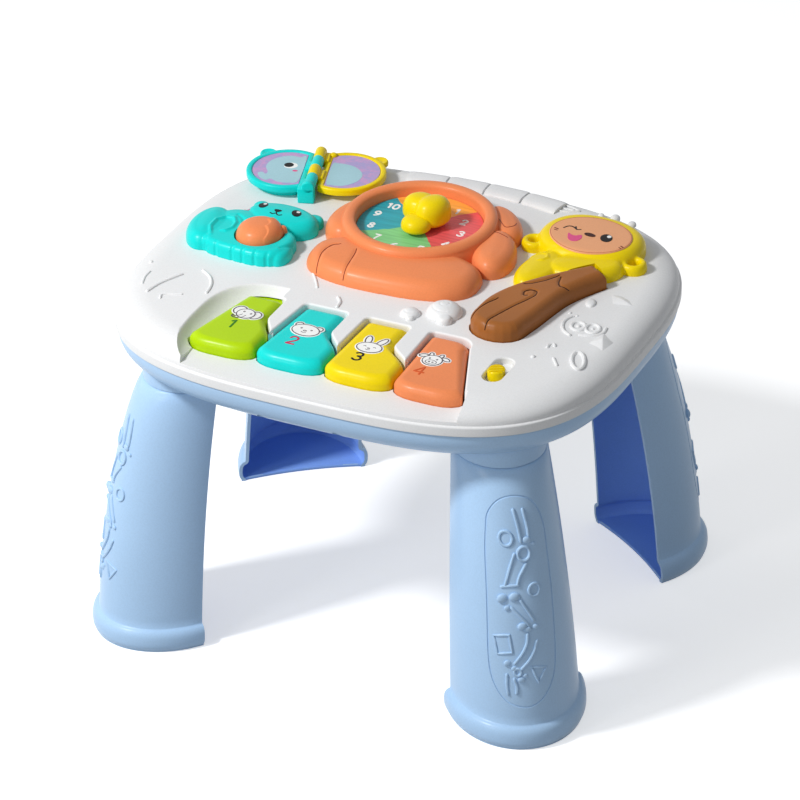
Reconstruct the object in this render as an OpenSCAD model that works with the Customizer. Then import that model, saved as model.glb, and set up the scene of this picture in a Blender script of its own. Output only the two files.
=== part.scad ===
// Musical activity table for a baby: a domed top with four piano keys, a dial, a flip book
// and animal buttons, on a tray with four C-shaped legs.
// The origin is on the floor below the middle of the top. X runs along the key side,
// the keys are on the -Y side and Z is up. All sizes are in millimetres.

/* [Top] */
// Length of the top along the key side
table_l = 355; // [350:1:360]
// Width of the top from front to back
table_w = 305; // [300:1:312]
// How square the outline of the top is
table_square = 3.15; // [3:0.05:3.6]
// Height of the flat top plate above the floor
plate_z = 243.5; // [233.5:1:255.5]
// Height of the cover, from the parting line to the plate
cover_h = 20; // [19:1:24]
// Height of the straight lip at the foot of the cover
lip_h = 7.5; // [6:0.5:8]
// Depth of the groove above the lip
lip_groove = 1.4; // [1:0.1:1.8]
// Width of the rounded edge of the cover
edge_w = 20; // [17:0.5:21]
// Depth of the tray below the parting line
tray_h = 22; // [21:1:26]
// Wall of cover, tray and legs
wall = 2.4; // [2.2:0.1:2.6]

/* [Legs] */
// Distance of a foot's middle from the middle of the table, along X
foot_x = 127.5; // [124:0.5:129]
// Distance of a foot's middle from the middle of the table, along Y
foot_y = 98.5; // [96:0.5:100]
// Distance of a leg's top from the middle of the table, along X
leg_top_x = 109.5; // [108:0.5:111]
// Distance of a leg's top from the middle of the table, along Y
leg_top_y = 83; // [82:0.5:84.5]
// Direction in which a leg bulges outwards, from X
leg_turn = 53; // [51:1:55]
// Half the width of the leg's open side just above the foot
leg_half_low = 43; // [41:0.5:44]
// Half the width of the leg's open side at the top
leg_half_top = 31.5; // [31:0.5:32.5]
// Depth of the C just above the foot
leg_deep_low = 54; // [51:0.5:55]
// Depth of the C at the top
leg_deep_top = 37; // [36:0.5:38]
// How far the leg bows outwards halfway up
leg_bow = 4; // [3:0.5:5]
// Height of the rounded rim of the foot
foot_h = 16; // [14:1:18]
// How far the rim of the foot stands out
foot_rim = 4.5; // [4:0.25:5]
// How far the inner edge of the foot plate curves in
foot_sag = 4; // [3:0.5:5]
// Height of the socket collar that hangs below the tray
collar_h = 11; // [10:0.5:12]
// Height of the tenon on the leg, above the collar's lower edge
tenon_h = 19; // [17:0.5:19.5]
// Clearance of the tenon in the socket
tenon_gap = 0.3; // [0.2:0.05:0.4]

/* [Keys] */
// Left edge of the first key at its front
key_left = -93.7; // [-94.5:0.1:-93]
// Distance from one key to the next
key_pitch = 49; // [48.8:0.1:49.4]
// Width of a key at its front
key_w = 47.6; // [47:0.1:48]
// Front edge of the keys
key_front = -127; // [-129:0.5:-125]
// Back edge of the keys' visible part
key_back = -59; // [-60:0.5:-58]
// Depth of the key recess below the plate
recess_d = 10; // [9:0.5:11]
// Height of a key from its skirt's lower edge to its top
key_h = 15; // [14.5:0.5:16]
// Width of the rounded edge on a key
key_round = 6; // [5:0.5:7]
// Wall of a key
key_wall = 2; // [1.8:0.1:2.2]
// Gap between a key and the cover round it
key_gap = 0.8; // [0.6:0.1:1]
// Radius of the rod that the keys turn on
rod_r = 1.5; // [1.3:0.1:1.7]
// Distance of the rod behind the keys' back edge
rod_back = 9; // [8.5:0.5:10]
// Depth of the rod's axis below the plate
rod_down = 11.5; // [11:0.5:12.5]

/* [Dial] */
// Middle of the dial along X
dial_x = -9.7; // [-11:0.1:-8.5]
// Middle of the dial along Y
dial_y = 53.9; // [52.5:0.1:55]
// Radius of the window in the fox ring
dial_r = 43.4; // [42:0.2:44]
// Outer radius of the fox ring at its top
ring_r = 53; // [52:0.5:54]
// Height of the fox ring above the plate
ring_h = 17.5; // [16.5:0.5:18.5]
// Height of the dial face's top above the plate
face_up = 9; // [8:0.5:10]
// Thickness of the dial face
face_t = 2; // [1.8:0.1:2.4]
// Height of the knob's top above the plate
knob_up = 30; // [28:0.5:32]
// Radius of the knob's shaft
shaft_r = 4; // [3.5:0.25:4.5]
// Radius of the knob's large lobe
knob_big_r = 16.5; // [15.5:0.5:17.5]
// Radius of the knob's small lobe
knob_small_r = 11; // [10:0.5:12]

/* [Figures] */
// Height of the fox's tail above the plate
tail_h = 13; // [12:0.5:14]
// Height of the fox's side lobes above the plate
lobe_h = 13; // [12:0.5:14]
// Height of the squirrel above the plate
squirrel_h = 13; // [12:0.5:14]
// Middle of the acorn button along X
acorn_x = -102; // [-103:0.5:-101]
// Middle of the acorn button along Y
acorn_y = -3; // [-4:0.5:-2]
// Half the width of the acorn button
acorn_a = 16; // [15:0.5:17]
// Half the length of the acorn button
acorn_b = 21; // [20:0.5:22]
// Height of the acorn button above the squirrel's belly
acorn_up = 9; // [8:0.5:10]
// Travel of the acorn button
acorn_travel = 3; // [2.5:0.25:3]
// Height of the monkey above the plate
monkey_h = 13; // [12:0.5:14]
// Middle of the monkey's head along X
monkey_x = 103; // [102:0.5:104]
// Middle of the monkey's head along Y
monkey_y = 86; // [85:0.5:87]
// Height of the log above the plate
log_h = 12; // [11:0.5:13]
// Travel of the log button
log_travel = 2.5; // [2:0.25:2.5]
// Gap between a button and the part that it goes through
button_gap = 0.6; // [0.5:0.1:0.8]
// Radius of the large mushroom cap
mushroom_r = 12; // [11:0.5:13]

/* [Book] */
// Front end of the hinge along X
hinge_x = -101; // [-102:0.5:-100]
// Front end of the hinge along Y
hinge_y = 70; // [69:0.5:71]
// Length of the hinge
hinge_l = 52; // [50:1:54]
// Turn of the hinge from the Y axis
hinge_turn = 17; // [15:1:18]
// Height of the hinge axis above the plate
hinge_up = 12; // [11.5:0.25:12.5]
// Radius of the hinge knuckles
knuckle_r = 4; // [3.6:0.1:4.2]
// Radius of the hinge pin
book_pin_r = 1.4; // [1.2:0.1:1.6]
// Thickness of a page
page_t = 5; // [4.5:0.25:5.5]
// Gap below a page
page_up = 5; // [4.5:0.25:5.5]
// Radius of a page
page_r = 28.5; // [28:0.5:29]

/* [Switch] */
// Middle of the switch along X
switch_x = 110.5; // [109:0.5:111]
// Middle of the switch along Y
switch_y = -85; // [-86:0.5:-83]
// Length of the switch recess
switch_l = 31; // [29:1:33]
// Width of the switch recess
switch_w = 13; // [12.5:0.5:14]
// Travel of the switch to each side
switch_travel = 5; // [4:0.5:5.5]
// Place of the slider from the middle of its travel
switch_at = -3; // [-3.5:0.5:3.5]

/* [Inside] */
// Radius of the speaker
speaker_r = 25; // [23:0.5:27]
// Thickness of the circuit boards
board_t = 1.6; // [1.2:0.1:2]
// Height of the boards above the tray's floor
board_up = 11; // [10.5:0.25:12]
// Radius of a battery cell
cell_r = 7.1; // [7:0.1:7.2]
// Length of a battery cell
cell_l = 50; // [49.5:0.25:50.5]
// Radius of a case screw's shank
screw_r = 1.5; // [1.3:0.1:1.7]
// Radius of a screw boss
boss_r = 4; // [3.8:0.1:4.4]

/* [Hidden] */
$fn = 48;
eps = 0.01;
touch = 0.3;
run_fit = 0.06;

part_z = plate_z - cover_h;
floor_z = part_z - tray_h;
under_z = plate_z - wall;
shelf_z = plate_z - recess_d;
collar_z = floor_z - collar_h;
rim_pts = 56;
arc_pts = 20;

// Light colours of the parts
blue = [0.55, 0.70, 0.92];
white = [0.95, 0.95, 0.95];
green = [0.72, 0.87, 0.08];
cyan = [0.10, 0.84, 0.80];
yellow = [0.96, 0.84, 0.08];
orange = [0.94, 0.55, 0.41];
brown = [0.62, 0.38, 0.19];

// ---------- shared shapes ----------

// A closed solid through rings of points, from the lowest ring to the highest
module loft(rings) {
    n = len(rings[0]);
    m = len(rings);
    sides = [for (k = [0:m - 2], i = [0:n - 1]) each [
        [k * n + i, (k + 1) * n + i, (k + 1) * n + (i + 1) % n],
        [k * n + i, (k + 1) * n + (i + 1) % n, k * n + (i + 1) % n]]];
    low = [[for (i = [0:n - 1]) i]];
    high = [[for (i = [n - 1:-1:0]) (m - 1) * n + i]];
    polyhedron([for (r = rings) each r], concat(low, sides, high));
}

// One point of a superellipse with half axes a and b
function squircle(a, b, p, t) = [
    a * sign(cos(t)) * pow(abs(cos(t)), 2 / p),
    b * sign(sin(t)) * pow(abs(sin(t)), 2 / p)];

// The outline of the top, drawn in by d, at height z
function rim_ring(d, z) = [for (i = [0:rim_pts - 1])
    let (q = squircle(table_l / 2 - d, table_w / 2 - d, table_square, (i + 0.5) * 360 / rim_pts))
    [q[0], q[1], z]];

// A squircle outline round a middle, turned by turn
function blob(c, a, b, turn = 0, p = 2, n = 24) = [for (i = [0:n - 1])
    let (q = squircle(a, b, p, i * 360 / n))
    [c[0] + q[0] * cos(turn) - q[1] * sin(turn), c[1] + q[0] * sin(turn) + q[1] * cos(turn)]];

// A rounded cushion on an outline: height h above z, with its edge rounded over width e
module puff(c, a, b, h, e, z = plate_z, turn = 0, p = 2, n = 24, steps = 4) {
    loft(concat(
        [[for (q = blob(c, a, b, turn, p, n)) [q[0], q[1], z]]],
        [for (k = [0:steps])
            let (f = 90 * k / steps, d = e * (1 - cos(f)), up = h - min(e, h - 1) * (1 - sin(f)))
            [for (q = blob(c, a - d, b - d, turn, p, n)) [q[0], q[1], z + up]]]));
}

module tube(r_out, r_in, h) {
    difference() {
        cylinder(r = r_out, h = h);
        translate([0, 0, -eps]) cylinder(r = r_in, h = h + 2 * eps);
    }
}

// A self-tapping screw with its head at the bottom, at z
module screw_up(x, y, z, l) {
    translate([x, y, z]) {
        difference() {
            cylinder(r = 2 * screw_r, h = 2);
            translate([-2 * screw_r, -0.4, -eps]) cube([4 * screw_r, 0.8, 0.8]);
            translate([-0.4, -2 * screw_r, -eps]) cube([0.8, 4 * screw_r, 0.8]);
        }
        cylinder(r = screw_r, h = l);
    }
}

// A coil spring between z0 and z1
module coil(x, y, z0, z1, r, wire, turns) {
    seg = 10;
    n = turns * seg;
    sides = 5;
    loft([for (k = [0:n])
        let (t = k * 360 / seg, z = z0 + wire + (z1 - z0 - 2 * wire) * k / n)
        [for (s = [0:sides - 1])
            let (f = -s * 360 / sides, q = r + wire * cos(f))
            [x + q * cos(t), y + q * sin(t), z + wire * sin(f)]]]);
}

// ---------- cover ----------

// How far the cover's surface is drawn in and raised at angle f of its rounded edge
function dome_ring(f, d, drop) = rim_ring(
    lip_groove + d + edge_w * (1 - cos(f)),
    part_z + lip_h + 0.8 + (cover_h - lip_h - 0.8 - drop) * sin(f));

module cover_outer() {
    loft(concat(
        [rim_ring(0.8, part_z), rim_ring(0, part_z + 0.8), rim_ring(0, part_z + lip_h - 0.6),
         rim_ring(lip_groove, part_z + lip_h)],
        [for (k = [0:6]) dome_ring(15 * k, 0, 0)]));
}

module cover_inner() {
    loft(concat(
        [rim_ring(wall, part_z - 1), rim_ring(wall + lip_groove, part_z + lip_h - wall)],
        [for (k = [0:5]) dome_ring(18 * k, wall, wall)]));
}

key_back_left = [-82, -39, 6, 52];
key_back_right = [-56, -10, 35, 81];
key_side_y = -81;
key_wide_y = -102;

function key_x0(i) = key_left + i * key_pitch;
function key_x1(i) = key_x0(i) + key_w;

// Outline of key i, drawn in by d, with round front corners
function key_outline(i, d = 0) =
    let (r = 9 - d * 0.5, x0 = key_x0(i) + d, x1 = key_x1(i) - d,
         y0 = key_front + d, y1 = key_back - d,
         b0 = key_back_left[i] + d, b1 = key_back_right[i] - d)
    concat(
        [for (k = [0:4]) [x0 + r - r * cos(90 * k / 4), y0 + r - r * sin(90 * k / 4)]],
        [for (k = [0:4]) [x1 - r + r * sin(90 * k / 4), y0 + r - r * cos(90 * k / 4)]],
        i == 3 ? [] : [for (k = [0:4])
            let (s = k / 4, w = s * s * (3 - 2 * s))
            [x1 + (b1 - x1) * w, key_wide_y - 2 + (key_side_y - key_wide_y) * s]],
        let (c = i == 3 ? 9 : 2)
            [for (k = [0:4]) [b1 - c + c * cos(22.5 * k), y1 - c + c * sin(22.5 * k)]],
        [for (k = [0:2]) [b0 + 2 - 2 * sin(45 * k), y1 - 2 + 2 * cos(45 * k)]]);

module key_shape(i, d, z0, z1) {
    translate([0, 0, z0]) linear_extrude(z1 - z0) polygon(key_outline(i, d));
}

// The oval scoop beside and behind the first key, longer towards the front
scoop_d = 4;
module scoop_shape() {
    intersection() {
        polygon([for (k = [0:35])
            [key_left + 31.7, key_back - 32] + squircle(39.3, k < 18 ? 45.5 : 69.7, 2.5, k * 10 + 5)]);
        translate([-table_l, -table_w]) square([table_l + key_left + 36, 2 * table_w]);
    }
}

// The recess that opens towards the front, with the keys' slots at its back
module recess_shape() {
    left = key_x0(0);
    right = key_x1(3);
    for (i = [0:3]) polygon(key_outline(i, -key_gap - 0.7));
    polygon([[left + 4, key_front + 10], [left + 8, -table_w], [right + 9, -table_w],
        [right + 5, key_front - 8], [right + 1.6, key_front + 8]]);
    intersection() {
        scoop_shape();
        translate([-table_l, -table_w]) square([2 * table_l, table_w + key_back + 1.5]);
    }
}

rod_y = key_back + rod_back;
rod_z = plate_z - rod_down;
rod_x0 = key_back_left[0] - 7;
rod_x1 = key_back_right[3] + 7;
// Brackets that carry the rod: at both ends and between the keys
brackets = concat([rod_x0], [for (i = [0:2]) (key_back_right[i] + key_back_left[i + 1]) / 2 - 1.5],
    [rod_x1 - 3]);

module rod_bracket(x) {
    difference() {
        translate([x, rod_y - 7, rod_z - 4.5]) cube([3, 11.5, under_z - rod_z + 4.5 + 1]);
        translate([x - 1, rod_y, rod_z]) rotate([0, 90, 0]) cylinder(r = rod_r + 0.02, h = 5);
    }
}

// Places of the screws that join tray and cover
case_spots = [for (sx = [-1, 1], sy = [-1, 1]) [sx * (table_l / 2 - 25), sy * 26],
    each [for (sx = [-1, 1]) [sx * 60, table_w / 2 - 24]], [-30, -table_w / 2 + 9], [24, -table_w / 2 + 9]];

module cover_boss(p) {
    translate([p[0], p[1], part_z]) cylinder(r = boss_r, h = cover_h - recess_d - 1);
    if (abs(p[1]) < table_w / 2 - 10)
        translate([p[0], p[1], part_z]) cylinder(r = boss_r, h = cover_h - wall + 0.5);
}

module mushroom(x, y, r, turn) {
    translate([x, y, plate_z - 0.5]) rotate([0, 0, turn]) {
        rotate_extrude() polygon(concat([[0, 0]],
            [for (k = [0:8]) [r * cos(90 * k / 8), 0.5 + r * 0.62 * sin(90 * k / 8)]]));
        translate([0, -r * 0.95, 0]) cylinder(r = r * 0.42, h = 0.5 + r * 0.4);
    }
}

// The raised branch along the back edge, in segments on one wide arc
branch_r = 290;
branch_w = 19;
module branch() {
    translate([5, table_w / 2 - 17.5 - branch_r, plate_z]) for (k = [0:3])
        rotate([0, 0, 78.8 + 5.8 * k]) rotate_extrude(angle = 5.5, $fn = 120)
            translate([branch_r, 0]) polygon([
                [-branch_w / 2, -1], [branch_w / 2, -4.5], [branch_w / 2, -1],
                [branch_w / 2 - 4, 2.4], [4 - branch_w / 2, 2.8], [-branch_w / 2, 0.8]]);
}

module slot_2d(l, w) {
    translate([0, -(l - w) / 2]) circle(r = w / 2);
    translate([0, (l - w) / 2]) circle(r = w / 2);
    square([w, l - w], center = true);
}

switch_floor = 5;
module top_cover() color(white) difference() {
    union() {
        difference() {
            cover_outer();
            cover_inner();
        }
        // floor and walls of the key recess and of the switch recess
        intersection() {
            cover_outer();
            union() {
                translate([0, 0, shelf_z - wall]) linear_extrude(recess_d + wall)
                    offset(delta = wall) recess_shape();
                translate([0, 0, plate_z - scoop_d - wall]) linear_extrude(scoop_d + wall)
                    offset(delta = wall) scoop_shape();
                translate([switch_x, switch_y, plate_z - switch_floor - wall])
                    linear_extrude(switch_floor + wall) slot_2d(switch_l + 2 * wall, switch_w + 2 * wall);
            }
        }
        intersection() {
            cover_outer();
            for (p = case_spots) cover_boss(p);
        }
        for (x = brackets) rod_bracket(x);
        branch();
        mushroom(49, -34, mushroom_r, 25);
        mushroom(29, -44, mushroom_r * 0.55, 25);
        for (p = figure_pegs) translate([p[0], p[1], under_z - 4]) cylinder(r = boss_r - 0.5, h = 5);
        translate([dial_x, dial_y, under_z - 6]) cylinder(r = shaft_r + 3, h = 8);
    }
    translate([0, 0, shelf_z]) linear_extrude(recess_d + 1) recess_shape();
    translate([0, 0, plate_z - scoop_d]) linear_extrude(scoop_d + 1) scoop_shape();
    for (i = [0:3]) key_shape(i, -key_gap, shelf_z - wall - 1, shelf_z + 1);
    for (i = [0:3]) translate([key_back_left[i] - 0.8, key_back - 6, shelf_z - wall - 1])
        cube([key_back_right[i] - key_back_left[i] + 1.6, rod_back + 15, recess_d - 3]);
    translate([switch_x, switch_y, plate_z - switch_floor]) linear_extrude(switch_floor + 1)
        slot_2d(switch_l, switch_w);
    translate([switch_x, switch_y, 0]) linear_extrude(plate_z) slot_2d(2 * switch_travel + 9, 5);
    translate([dial_x, dial_y, under_z - 7]) cylinder(r = shaft_r + run_fit, h = 20);
    for (p = case_spots) translate([p[0], p[1], part_z - 1]) cylinder(r = screw_r - 0.1, h = 8);
    for (p = figure_pegs) translate([p[0], p[1], under_z - 5]) cylinder(r = screw_r, h = 9);
    // openings for the log and for the acorn's stem
    translate([0, 0, under_z - 3 - log_travel]) linear_extrude(wall + 6 + log_travel)
        offset(delta = button_gap) polygon(log_outline(0));
    translate([acorn_x, acorn_y, under_z - 1]) cylinder(r = 3.5, h = 6);
}

// ---------- tray ----------

tray_curve = tray_h - 2;
module tray_outer() {
    loft([for (k = [0:6])
        let (f = 90 * k / 6)
        rim_ring(1.2 + tray_curve * (1 - sin(f)), part_z - 2 - tray_curve * cos(f)),
        rim_ring(1.2, part_z)]);
}

module tray_inner() {
    loft([for (k = [0:6])
        let (f = 90 * k / 6, c = tray_curve - wall)
        rim_ring(1.2 + wall + c * (1 - sin(f)), part_z - 2 - c * cos(f)),
        rim_ring(1.2 + wall, part_z + 1)]);
}

inner_z = floor_z + wall;
board_z = inner_z + board_up;
bay_x = 0;
bay_y = 40;
bay_l = cell_l + 8;
bay_w = 6 * cell_r + 3;
bay_h = 2 * cell_r + 1.2;
door_t = 2;
door_lip = 4;
cell_z = floor_z + door_t + cell_r + 0.3;
speaker_x = -4;
speaker_y = -26;

module base_tray() color(blue) difference() {
    union() {
        difference() {
            tray_outer();
            tray_inner();
        }
        for (sx = [-1, 1], sy = [-1, 1]) scale_xy(sx, sy)
            translate([0, 0, collar_z]) linear_extrude(tenon_h + wall + 1) polygon(d_shape(0));
        intersection() {
            tray_outer();
            for (p = case_spots) translate([p[0], p[1], floor_z]) cylinder(r = boss_r, h = tray_h);
        }
        for (p = board_posts) translate([p[0], p[1], inner_z - 1]) cylinder(r = 3, h = board_up + 1);
        translate([bay_x - bay_l / 2 - door_lip - wall, bay_y - bay_w / 2 - wall, floor_z])
            cube([bay_l + 2 * door_lip + 2 * wall, bay_w + 2 * wall, door_t + bay_h + wall]);
        translate([speaker_x, speaker_y, inner_z - 1]) tube(speaker_r + 0.3 + wall, speaker_r + 0.3, 6);
    }
    // sockets for the leg tenons
    for (sx = [-1, 1], sy = [-1, 1]) scale_xy(sx, sy)
        translate([0, 0, collar_z - 1]) linear_extrude(tenon_h + 2) polygon(d_shape(wall));
    // battery bay, open downwards, and the seat of its door
    translate([bay_x - bay_l / 2, bay_y - bay_w / 2, floor_z - 1]) cube([bay_l, bay_w, bay_h + door_t + 1]);
    translate([bay_x - bay_l / 2 - door_lip, bay_y - bay_w / 2, floor_z - 1])
        cube([bay_l + 2 * door_lip, bay_w, door_t + 1]);
    translate([door_screw_x, bay_y, floor_z]) cylinder(r = screw_r - 0.1, h = 9);
    for (p = case_spots) translate([p[0], p[1], floor_z - 1]) {
        cylinder(r = screw_r + 0.2, h = tray_h + 2);
        cylinder(r = 2 * screw_r + 0.3, h = 7);
    }
    // speaker grille
    for (r = [0:6:18], k = [0:max(0, r - 1)]) rotate_about(speaker_x, speaker_y, r == 0 ? 0 : k * 360 / r)
        translate([speaker_x + r, speaker_y, floor_z - 1]) cylinder(r = 1.3, h = wall + 2);
}

module rotate_about(x, y, a) {
    translate([x, y, 0]) rotate([0, 0, a]) translate([-x, -y, 0]) children();
}

module scale_xy(sx, sy) {
    mirror([sx < 0 ? 1 : 0, 0, 0]) mirror([0, sy < 0 ? 1 : 0, 0]) children();
}

door_screw_x = bay_x + bay_l / 2 + door_lip / 2 + 1;

// ---------- legs ----------

leg_n = [cos(leg_turn), sin(leg_turn)];
leg_t = [sin(leg_turn), -cos(leg_turn)];
function leg_rise(z) = min(z / collar_z, 1);
function leg_mid(z) =
    let (s = leg_rise(z))
    [foot_x, foot_y] * (1 - s) + [leg_top_x, leg_top_y] * s + leg_n * leg_bow * 4 * s * (1 - s);
function leg_half(z) = leg_half_top + (leg_half_low - leg_half_top) * (1 - pow(leg_rise(z), 1.5));
function leg_deep(z) = leg_deep_top + (leg_deep_low - leg_deep_top) * sqrt(1 - pow(leg_rise(z), 2) * 0.999);

// The outer curve of the C at height z, moved outwards by off, from one end to the other
function leg_arc(z, off, from = 0, to = 180) = [for (k = [0:arc_pts])
    let (f = from + (to - from) * k / arc_pts, a = leg_half(z) + off, b = leg_deep(z) + off)
    leg_mid(z) + leg_t * a * cos(f) + leg_n * b * sin(f)];

// A D of the leg's top outline, drawn in by d on all sides
function d_shape(d) =
    let (q = leg_arc(collar_z, -d), cut = asin(min(1, d / leg_deep_top)))
    leg_arc(collar_z, -d, cut, 180 - cut);

foot_levels = [[0, 0.4], [1.2, 0.75], [4, 1], [foot_h * 0.6, 1], [foot_h * 0.85, 0.75], [foot_h, 0.3],
    [foot_h + 0.6, 0]];
leg_levels = [for (k = [1:9]) foot_h + (collar_z - foot_h) * sin(k * 10)];

module leg_solid() {
    loft(concat(
        [for (l = foot_levels) [for (q = leg_arc(l[0], foot_rim * l[1])) [q[0], q[1], l[0]]]],
        [for (z = leg_levels) [for (q = leg_arc(z, 0)) [q[0], q[1], z]]]));
}

module leg_hollow() {
    low = [[wall, 0.4], [4, 0.75], [foot_h * 0.6, 0.75], [foot_h * 0.85, 0.4], [foot_h + 0.6, 0]];
    loft([for (l = concat(low, [for (z = leg_levels) [z, 0]], [[collar_z + 1, 0]]))
        let (q = leg_arc(l[0], foot_rim * l[1] - wall), last = len(q) - 1)
        concat([[each q[0] - leg_n * 20, l[0]]], [for (p = q) [p[0], p[1], l[0]]],
            [[each q[last] - leg_n * 20, l[0]]])]);
}

function c_shape(z, out, in, cut) =
    let (a = leg_arc(z, -out, cut, 180 - cut), b = leg_arc(z, -in, cut, 180 - cut))
    concat(a, [for (k = [arc_pts:-1:0]) b[k]]);

module leg(sx, sy) color(blue) scale_xy(sx, sy) {
    sag_r = (leg_half_low * leg_half_low) / (2 * foot_sag);
    difference() {
        leg_solid();
        leg_hollow();
        translate([each leg_mid(0) - leg_n * (sag_r - foot_sag), -1])
            cylinder(r = sag_r, h = wall + 2, $fn = 180);
    }
    // shoulder and tenon
    translate([0, 0, collar_z - 5]) linear_extrude(5)
        polygon(c_shape(collar_z, wall - 0.8, 2 * wall + tenon_gap, 8));
    translate([0, 0, collar_z - 1]) linear_extrude(tenon_h - tenon_gap + 1)
        polygon(c_shape(collar_z, wall + tenon_gap, 2 * wall + tenon_gap, 8));
}

module leg_front_left() leg(-1, -1);
module leg_front_right() leg(1, -1);
module leg_back_left() leg(-1, 1);
module leg_back_right() leg(1, 1);

// ---------- keys ----------

key_top = plate_z - 0.5;
key_low = key_top - key_h;
pad_y = -96;

module key(i, tone) color(tone) {
    x0 = key_back_left[i];
    x1 = key_back_right[i];
    difference() {
        union() {
            loft(concat([[for (q = key_outline(i)) [q[0], q[1], key_low]]],
                [for (k = [0:4])
                    let (f = 22.5 * k, d = key_round * (1 - cos(f)))
                    [for (q = key_outline(i, d)) [q[0], q[1], key_top - key_round * (1 - sin(f))]]]));
            // arm that runs below the plate to the rod
            translate([x0 + 2, key_back - 4, key_low + 1]) cube([x1 - x0 - 4, rod_back + 4, 7]);
            translate([x0 + 2, rod_y, rod_z]) rotate([0, 90, 0]) cylinder(r = 4, h = x1 - x0 - 4);
            // stop lip below the shelf
            translate([key_x0(i) + 12, key_front - 2.4, key_low])
                cube([key_w - 24, 4, shelf_z - wall - key_low - touch]);
        }
        difference() {
            key_shape(i, key_wall, key_low - 1, key_top - key_wall);
            translate([x0, key_back - 6, key_low - 2]) cube([x1 - x0, 8, key_h + 4]);
        }
        translate([x0, rod_y, rod_z]) rotate([0, 90, 0]) cylinder(r = rod_r + run_fit, h = x1 - x0);
    }
    translate([key_x0(i) + key_w / 2, pad_y, key_low - 5]) cylinder(r = 3, h = key_h + 5 - key_wall + 0.5);
}

module key_1() key(0, green);
module key_2() key(1, cyan);
module key_3() key(2, yellow);
module key_4() key(3, orange);

module key_pivot_rod() color("silver")
    translate([rod_x0, rod_y, rod_z]) rotate([0, 90, 0]) cylinder(r = rod_r, h = rod_x1 - rod_x0);

module pad(x, y, z0, z1) {
    translate([x, y, z0]) cylinder(r1 = 5, r2 = 3.4, h = z1 - z0);
}

module key_pads() color([0.25, 0.25, 0.27])
    for (i = [0:3]) pad(key_x0(i) + key_w / 2, pad_y, board_z + board_t, key_low - 5 - touch);

// ---------- dial ----------

// Places of the screws that hold the figures
figure_pegs = [[-46, -10], [28, -6], [-144, 4], [-97, 34], [92, 84], [124, 80], [-146, 86], [-129, 74],
    [52, 50]];

module fox_surround() color(orange) difference() {
    union() {
        translate([dial_x, dial_y, plate_z]) rotate_extrude($fn = 72) polygon(concat(
            [[dial_r, 0], [ring_r + 3, 0], [ring_r + 1.5, ring_h * 0.4]],
            [for (k = [0:4]) [ring_r - 5 + 5 * cos(22.5 * k), ring_h - 5 + 5 * sin(22.5 * k)]],
            [[dial_r + 1.5, ring_h - 0.6], [dial_r, ring_h - 2]]));
        difference() {
            union() {
                puff([-4, 1], 61, 29, tail_h, 11, turn = 2, p = 2.6, n = 36);
                puff([-52, 50], 20, 30, ring_h - 3, 9, turn = -12);
                puff([39.5, 81], 23, 12.5, lobe_h, 8, turn = -52);
                puff([50, 43], 26, 15, lobe_h + 1, 9, turn = -74);
            }
            translate([dial_x, dial_y, plate_z - 1]) cylinder(r = ring_r - 2, h = 40, $fn = 72);
        }
        translate([dial_x, dial_y, plate_z]) tube(dial_r + 1, dial_r - 4, face_up - face_t);
    }
    for (p = [figure_pegs[0], figure_pegs[1], figure_pegs[8]])
        translate([p[0], p[1], plate_z - 1]) cylinder(r = screw_r - 0.1, h = 8);
    // hollow under the tail
    translate([-29, -8, plate_z - 1]) cube([40, 14, tail_h - 5]);
}

module dial_face() color([0.55, 0.80, 0.55]) translate([dial_x, dial_y, plate_z + face_up - face_t])
    difference() {
        cylinder(r = dial_r - 0.3, h = face_t, $fn = 72);
        translate([0, 0, -1]) cylinder(r = shaft_r + 0.6, h = face_t + 2);
    }

module dial_knob() color(yellow) translate([dial_x, dial_y, plate_z]) {
    base = face_up + touch;
    difference() {
        union() {
            puff([1, 8], knob_big_r, knob_big_r, knob_up - base, 9, z = base, n = 28, steps = 5);
            puff([0, -7], knob_small_r, knob_small_r, knob_up - base - 12, 6, z = base + 5, steps = 5);
            translate([0, 0, -wall - 6 - touch]) cylinder(r = shaft_r, h = base + 10 + wall + touch);
        }
        translate([0, 0, -wall - 8]) cylinder(r = screw_r - 0.1, h = 12);
    }
}

module knob_washer() color("silver") translate([dial_x, dial_y, under_z - 8 - touch]) {
    tube(shaft_r + 4, screw_r + 0.02, 2);
    screw_up(0, 0, -2, 12);
}

// ---------- squirrel and acorn ----------

belly_h = squirrel_h - 2;
module squirrel_shape() {
    puff([-101, 28], 27, 17, squirrel_h, 8, turn = -4);
    puff([-142, 1], 15, 24, squirrel_h - 1, 8, turn = 8);
    puff([-109, -6], 32, 21, belly_h, 6, turn = -4, p = 3.2);
    puff([-125, 14], 18, 14, squirrel_h - 1, 7);
    puff([-83, -10], 8, 13, squirrel_h - 3, 5, turn = 12);
    puff([-82, 38], 7, 7, squirrel_h - 5, 4);
    puff([-122, 39], 6, 6, squirrel_h - 3, 4);
}

module squirrel_body() color(cyan) difference() {
    squirrel_shape();
    // opening and hollow for the acorn
    translate([acorn_x, acorn_y, plate_z - 1]) linear_extrude(squirrel_h + 8)
        polygon(blob([0, 0], acorn_a + button_gap, acorn_b - 4 + button_gap, -12));
    translate([acorn_x, acorn_y, plate_z - 1]) linear_extrude(belly_h - wall + 1)
        polygon(blob([0, 0], acorn_a + 3 + button_gap, acorn_b - 1 + button_gap, -12));
    for (p = [figure_pegs[2], figure_pegs[3]])
        translate([p[0], p[1], plate_z - 1]) cylinder(r = screw_r - 0.1, h = 8);
}

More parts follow.
